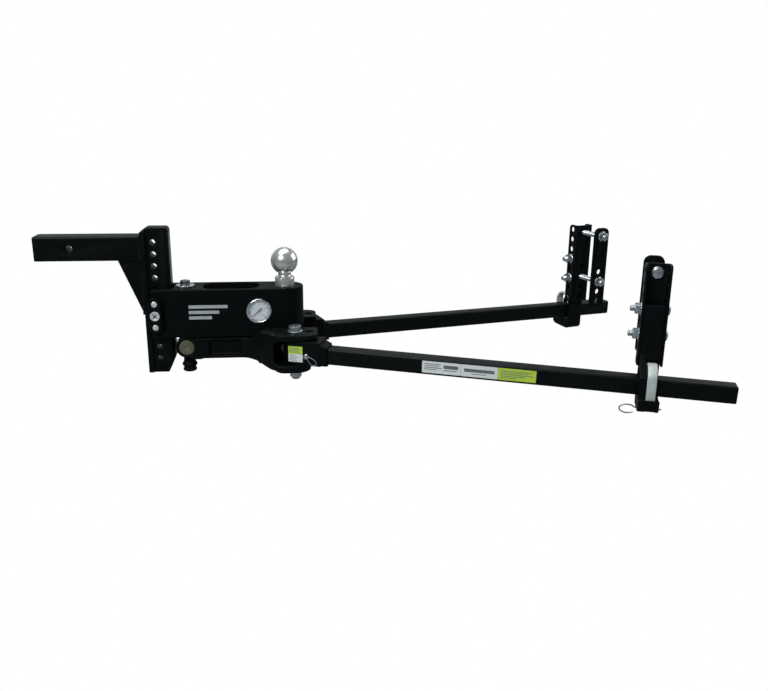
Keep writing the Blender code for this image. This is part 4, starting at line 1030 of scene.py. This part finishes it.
    for name, z in zip(("upper", "lower"), side_z):
        spot = (side * -22.0, z)
        dome = [(0, half + GAP), (12, half + GAP), (11.6, half + 1.6), (9.6, half + 3.2), (6, half + 4.4), (0, half + 5)]
        bolt = together(
            threaded(6.2, 1.75, -46, half + 3, *spot, "X"), turned(eased(dome, 0.8), *spot, "X", 48),
            flanged(spot, -half - GAP, -1, 11.7, "X", 20),
        )
        add(f"{label}_{name}_side_bolt_skin", bolt, place, body, "zinc", f"{label}_{name}_side_bolt")

    way = 1 if keeper_s > 0 else -1
    leg = [(way * (25 - 44 * i / 12), CLIP_Z) for i in range(13)] + [(way * -22.4, CLIP_Z + 0.6)]
    ring = [
        (way * (RING_SIZE[0] * math.cos(t) - RING_S), CLIP_Z - RING_DROP + RING_SIZE[1] * math.sin(t))
        for t in (math.radians(32 + 7.4 * k) for k in range(40))
    ]
    clip = wire([(p, side * CLIP_E, z) for p, z in leg + ring], 2.6)
    add(label + "_clip_skin", clip, place, label + "_clip", "wire", label + "_keeper_clip")


# ------------------------------------------------------------ stage, camera


def seen_white(tree, lit, plain, output):
    """The backdrop shows plain white, and throws only its lit shade on the object."""
    path = tree.nodes.new("ShaderNodeLightPath")
    mix = tree.nodes.new("ShaderNodeMixShader")
    link(tree, path.outputs["Is Camera Ray"], mix.inputs["Fac"])
    link(tree, lit.outputs[0], mix.inputs[1])
    link(tree, plain.outputs[0], mix.inputs[2])
    link(tree, mix.outputs[0], output.inputs["Surface"])


def stage():
    floor = bpy.data.materials.new("floor")
    floor.use_nodes = True
    tree = floor.node_tree
    shader = tree.nodes["Principled BSDF"]
    shader.inputs["Base Color"].default_value = (0.22, 0.23, 0.24, 1)
    shader.inputs["Roughness"].default_value = 0.9
    shader.inputs["Specular IOR Level"].default_value = 0.1
    glow = tree.nodes.new("ShaderNodeEmission")
    seen_white(tree, shader, glow, tree.nodes["Material Output"])
    sweep = [(-9, -0.62), (7, -0.62)]
    sweep += [(7 + 3 * math.sin(math.radians(t)), 2.38 - 3 * math.cos(math.radians(t))) for t in range(5, 91, 5)]
    sweep += [(10, 9)]
    builder = bmesh.new()
    rows = [[builder.verts.new((x, y, z)) for y, z in sweep] for x in (-14, 16)]
    for i in range(len(sweep) - 1):
        builder.faces.new((rows[0][i], rows[1][i], rows[1][i + 1], rows[0][i + 1]))
    ground = solid(builder)
    ground.name = "studio_sweep"
    ground.data.shade_smooth()
    ground.data.materials.append(floor)

    def lamp(name, spot, aim, size, power):
        light = bpy.data.lights.new(name, "AREA")
        light.shape = "RECTANGLE"
        light.size, light.size_y = size
        light.energy = power
        light.color = (0.92, 0.98, 1)
        holder = bpy.data.objects.new(name, light)
        bpy.context.scene.collection.objects.link(holder)
        holder.location = spot
        holder.rotation_euler = (Vector(aim) - Vector(spot)).to_track_quat("-Z", "Y").to_euler()
        holder.visible_camera = False

    lamp("back_panel", (0.5, 4.0, 1.3), (0.5, 0, 0.2), (9, 3.2), 34)
    lamp("top_softbox", (0.2, 0.3, 2.6), (0.5, 0, -0.1), (3.0, 1.8), 60)
    lamp("front_softbox", (-1.4, -2.8, 2.2), (0.4, 0, -0.1), (1.3, 1.1), 92)
    lamp("side_softbox", (3.6, 0.6, 1.2), (0.6, 0, -0.1), (2.0, 2.0), 34)
    lamp("low_softbox", (0.62, 2.0, -0.40), (0.2, 0, -0.1), (1.8, 0.42), 1.8)

    world = bpy.data.worlds.new("studio")
    bpy.context.scene.world = world
    world.use_nodes = True
    tree = world.node_tree
    sky = tree.nodes["Background"]
    sky.inputs["Color"].default_value = (0.90, 0.96, 1, 1)
    sky.inputs["Strength"].default_value = 0.17
    plain = tree.nodes.new("ShaderNodeBackground")
    plain.inputs["Color"].default_value = (1, 1, 1, 1)
    seen_white(tree, sky, plain, tree.nodes["World Output"])

    view = bpy.data.cameras.new("camera")
    view.sensor_width = 36
    view.lens = 38.23
    view.clip_end = 60
    camera = bpy.data.objects.new("camera", view)
    bpy.context.scene.collection.objects.link(camera)
    yaw, pitch, roll = 0.1068, 0.291, 0.0094
    ahead = Vector((math.sin(yaw) * math.cos(pitch), math.cos(yaw) * math.cos(pitch), -math.sin(pitch)))
    level = Vector((math.cos(yaw), -math.sin(yaw), 0))
    rise = level.cross(ahead)
    right = level * math.cos(roll) + rise * math.sin(roll)
    rise = rise * math.cos(roll) - level * math.sin(roll)
    turn = Matrix((right, rise, -ahead)).transposed()
    camera.matrix_world = Matrix.Translation((0.47355, -1.7575, 0.2998)) @ turn.to_4x4()
    bpy.context.scene.camera = camera
    bpy.context.scene.view_settings.view_transform = "Standard"


drawbar()
ball_mount()
gauge()
ball()
locking()
tension()
yoke()
for label, side in (("near", -1), ("far", 1)):
    bar(label, side)
    bracket(label, side)
labels()
stage()
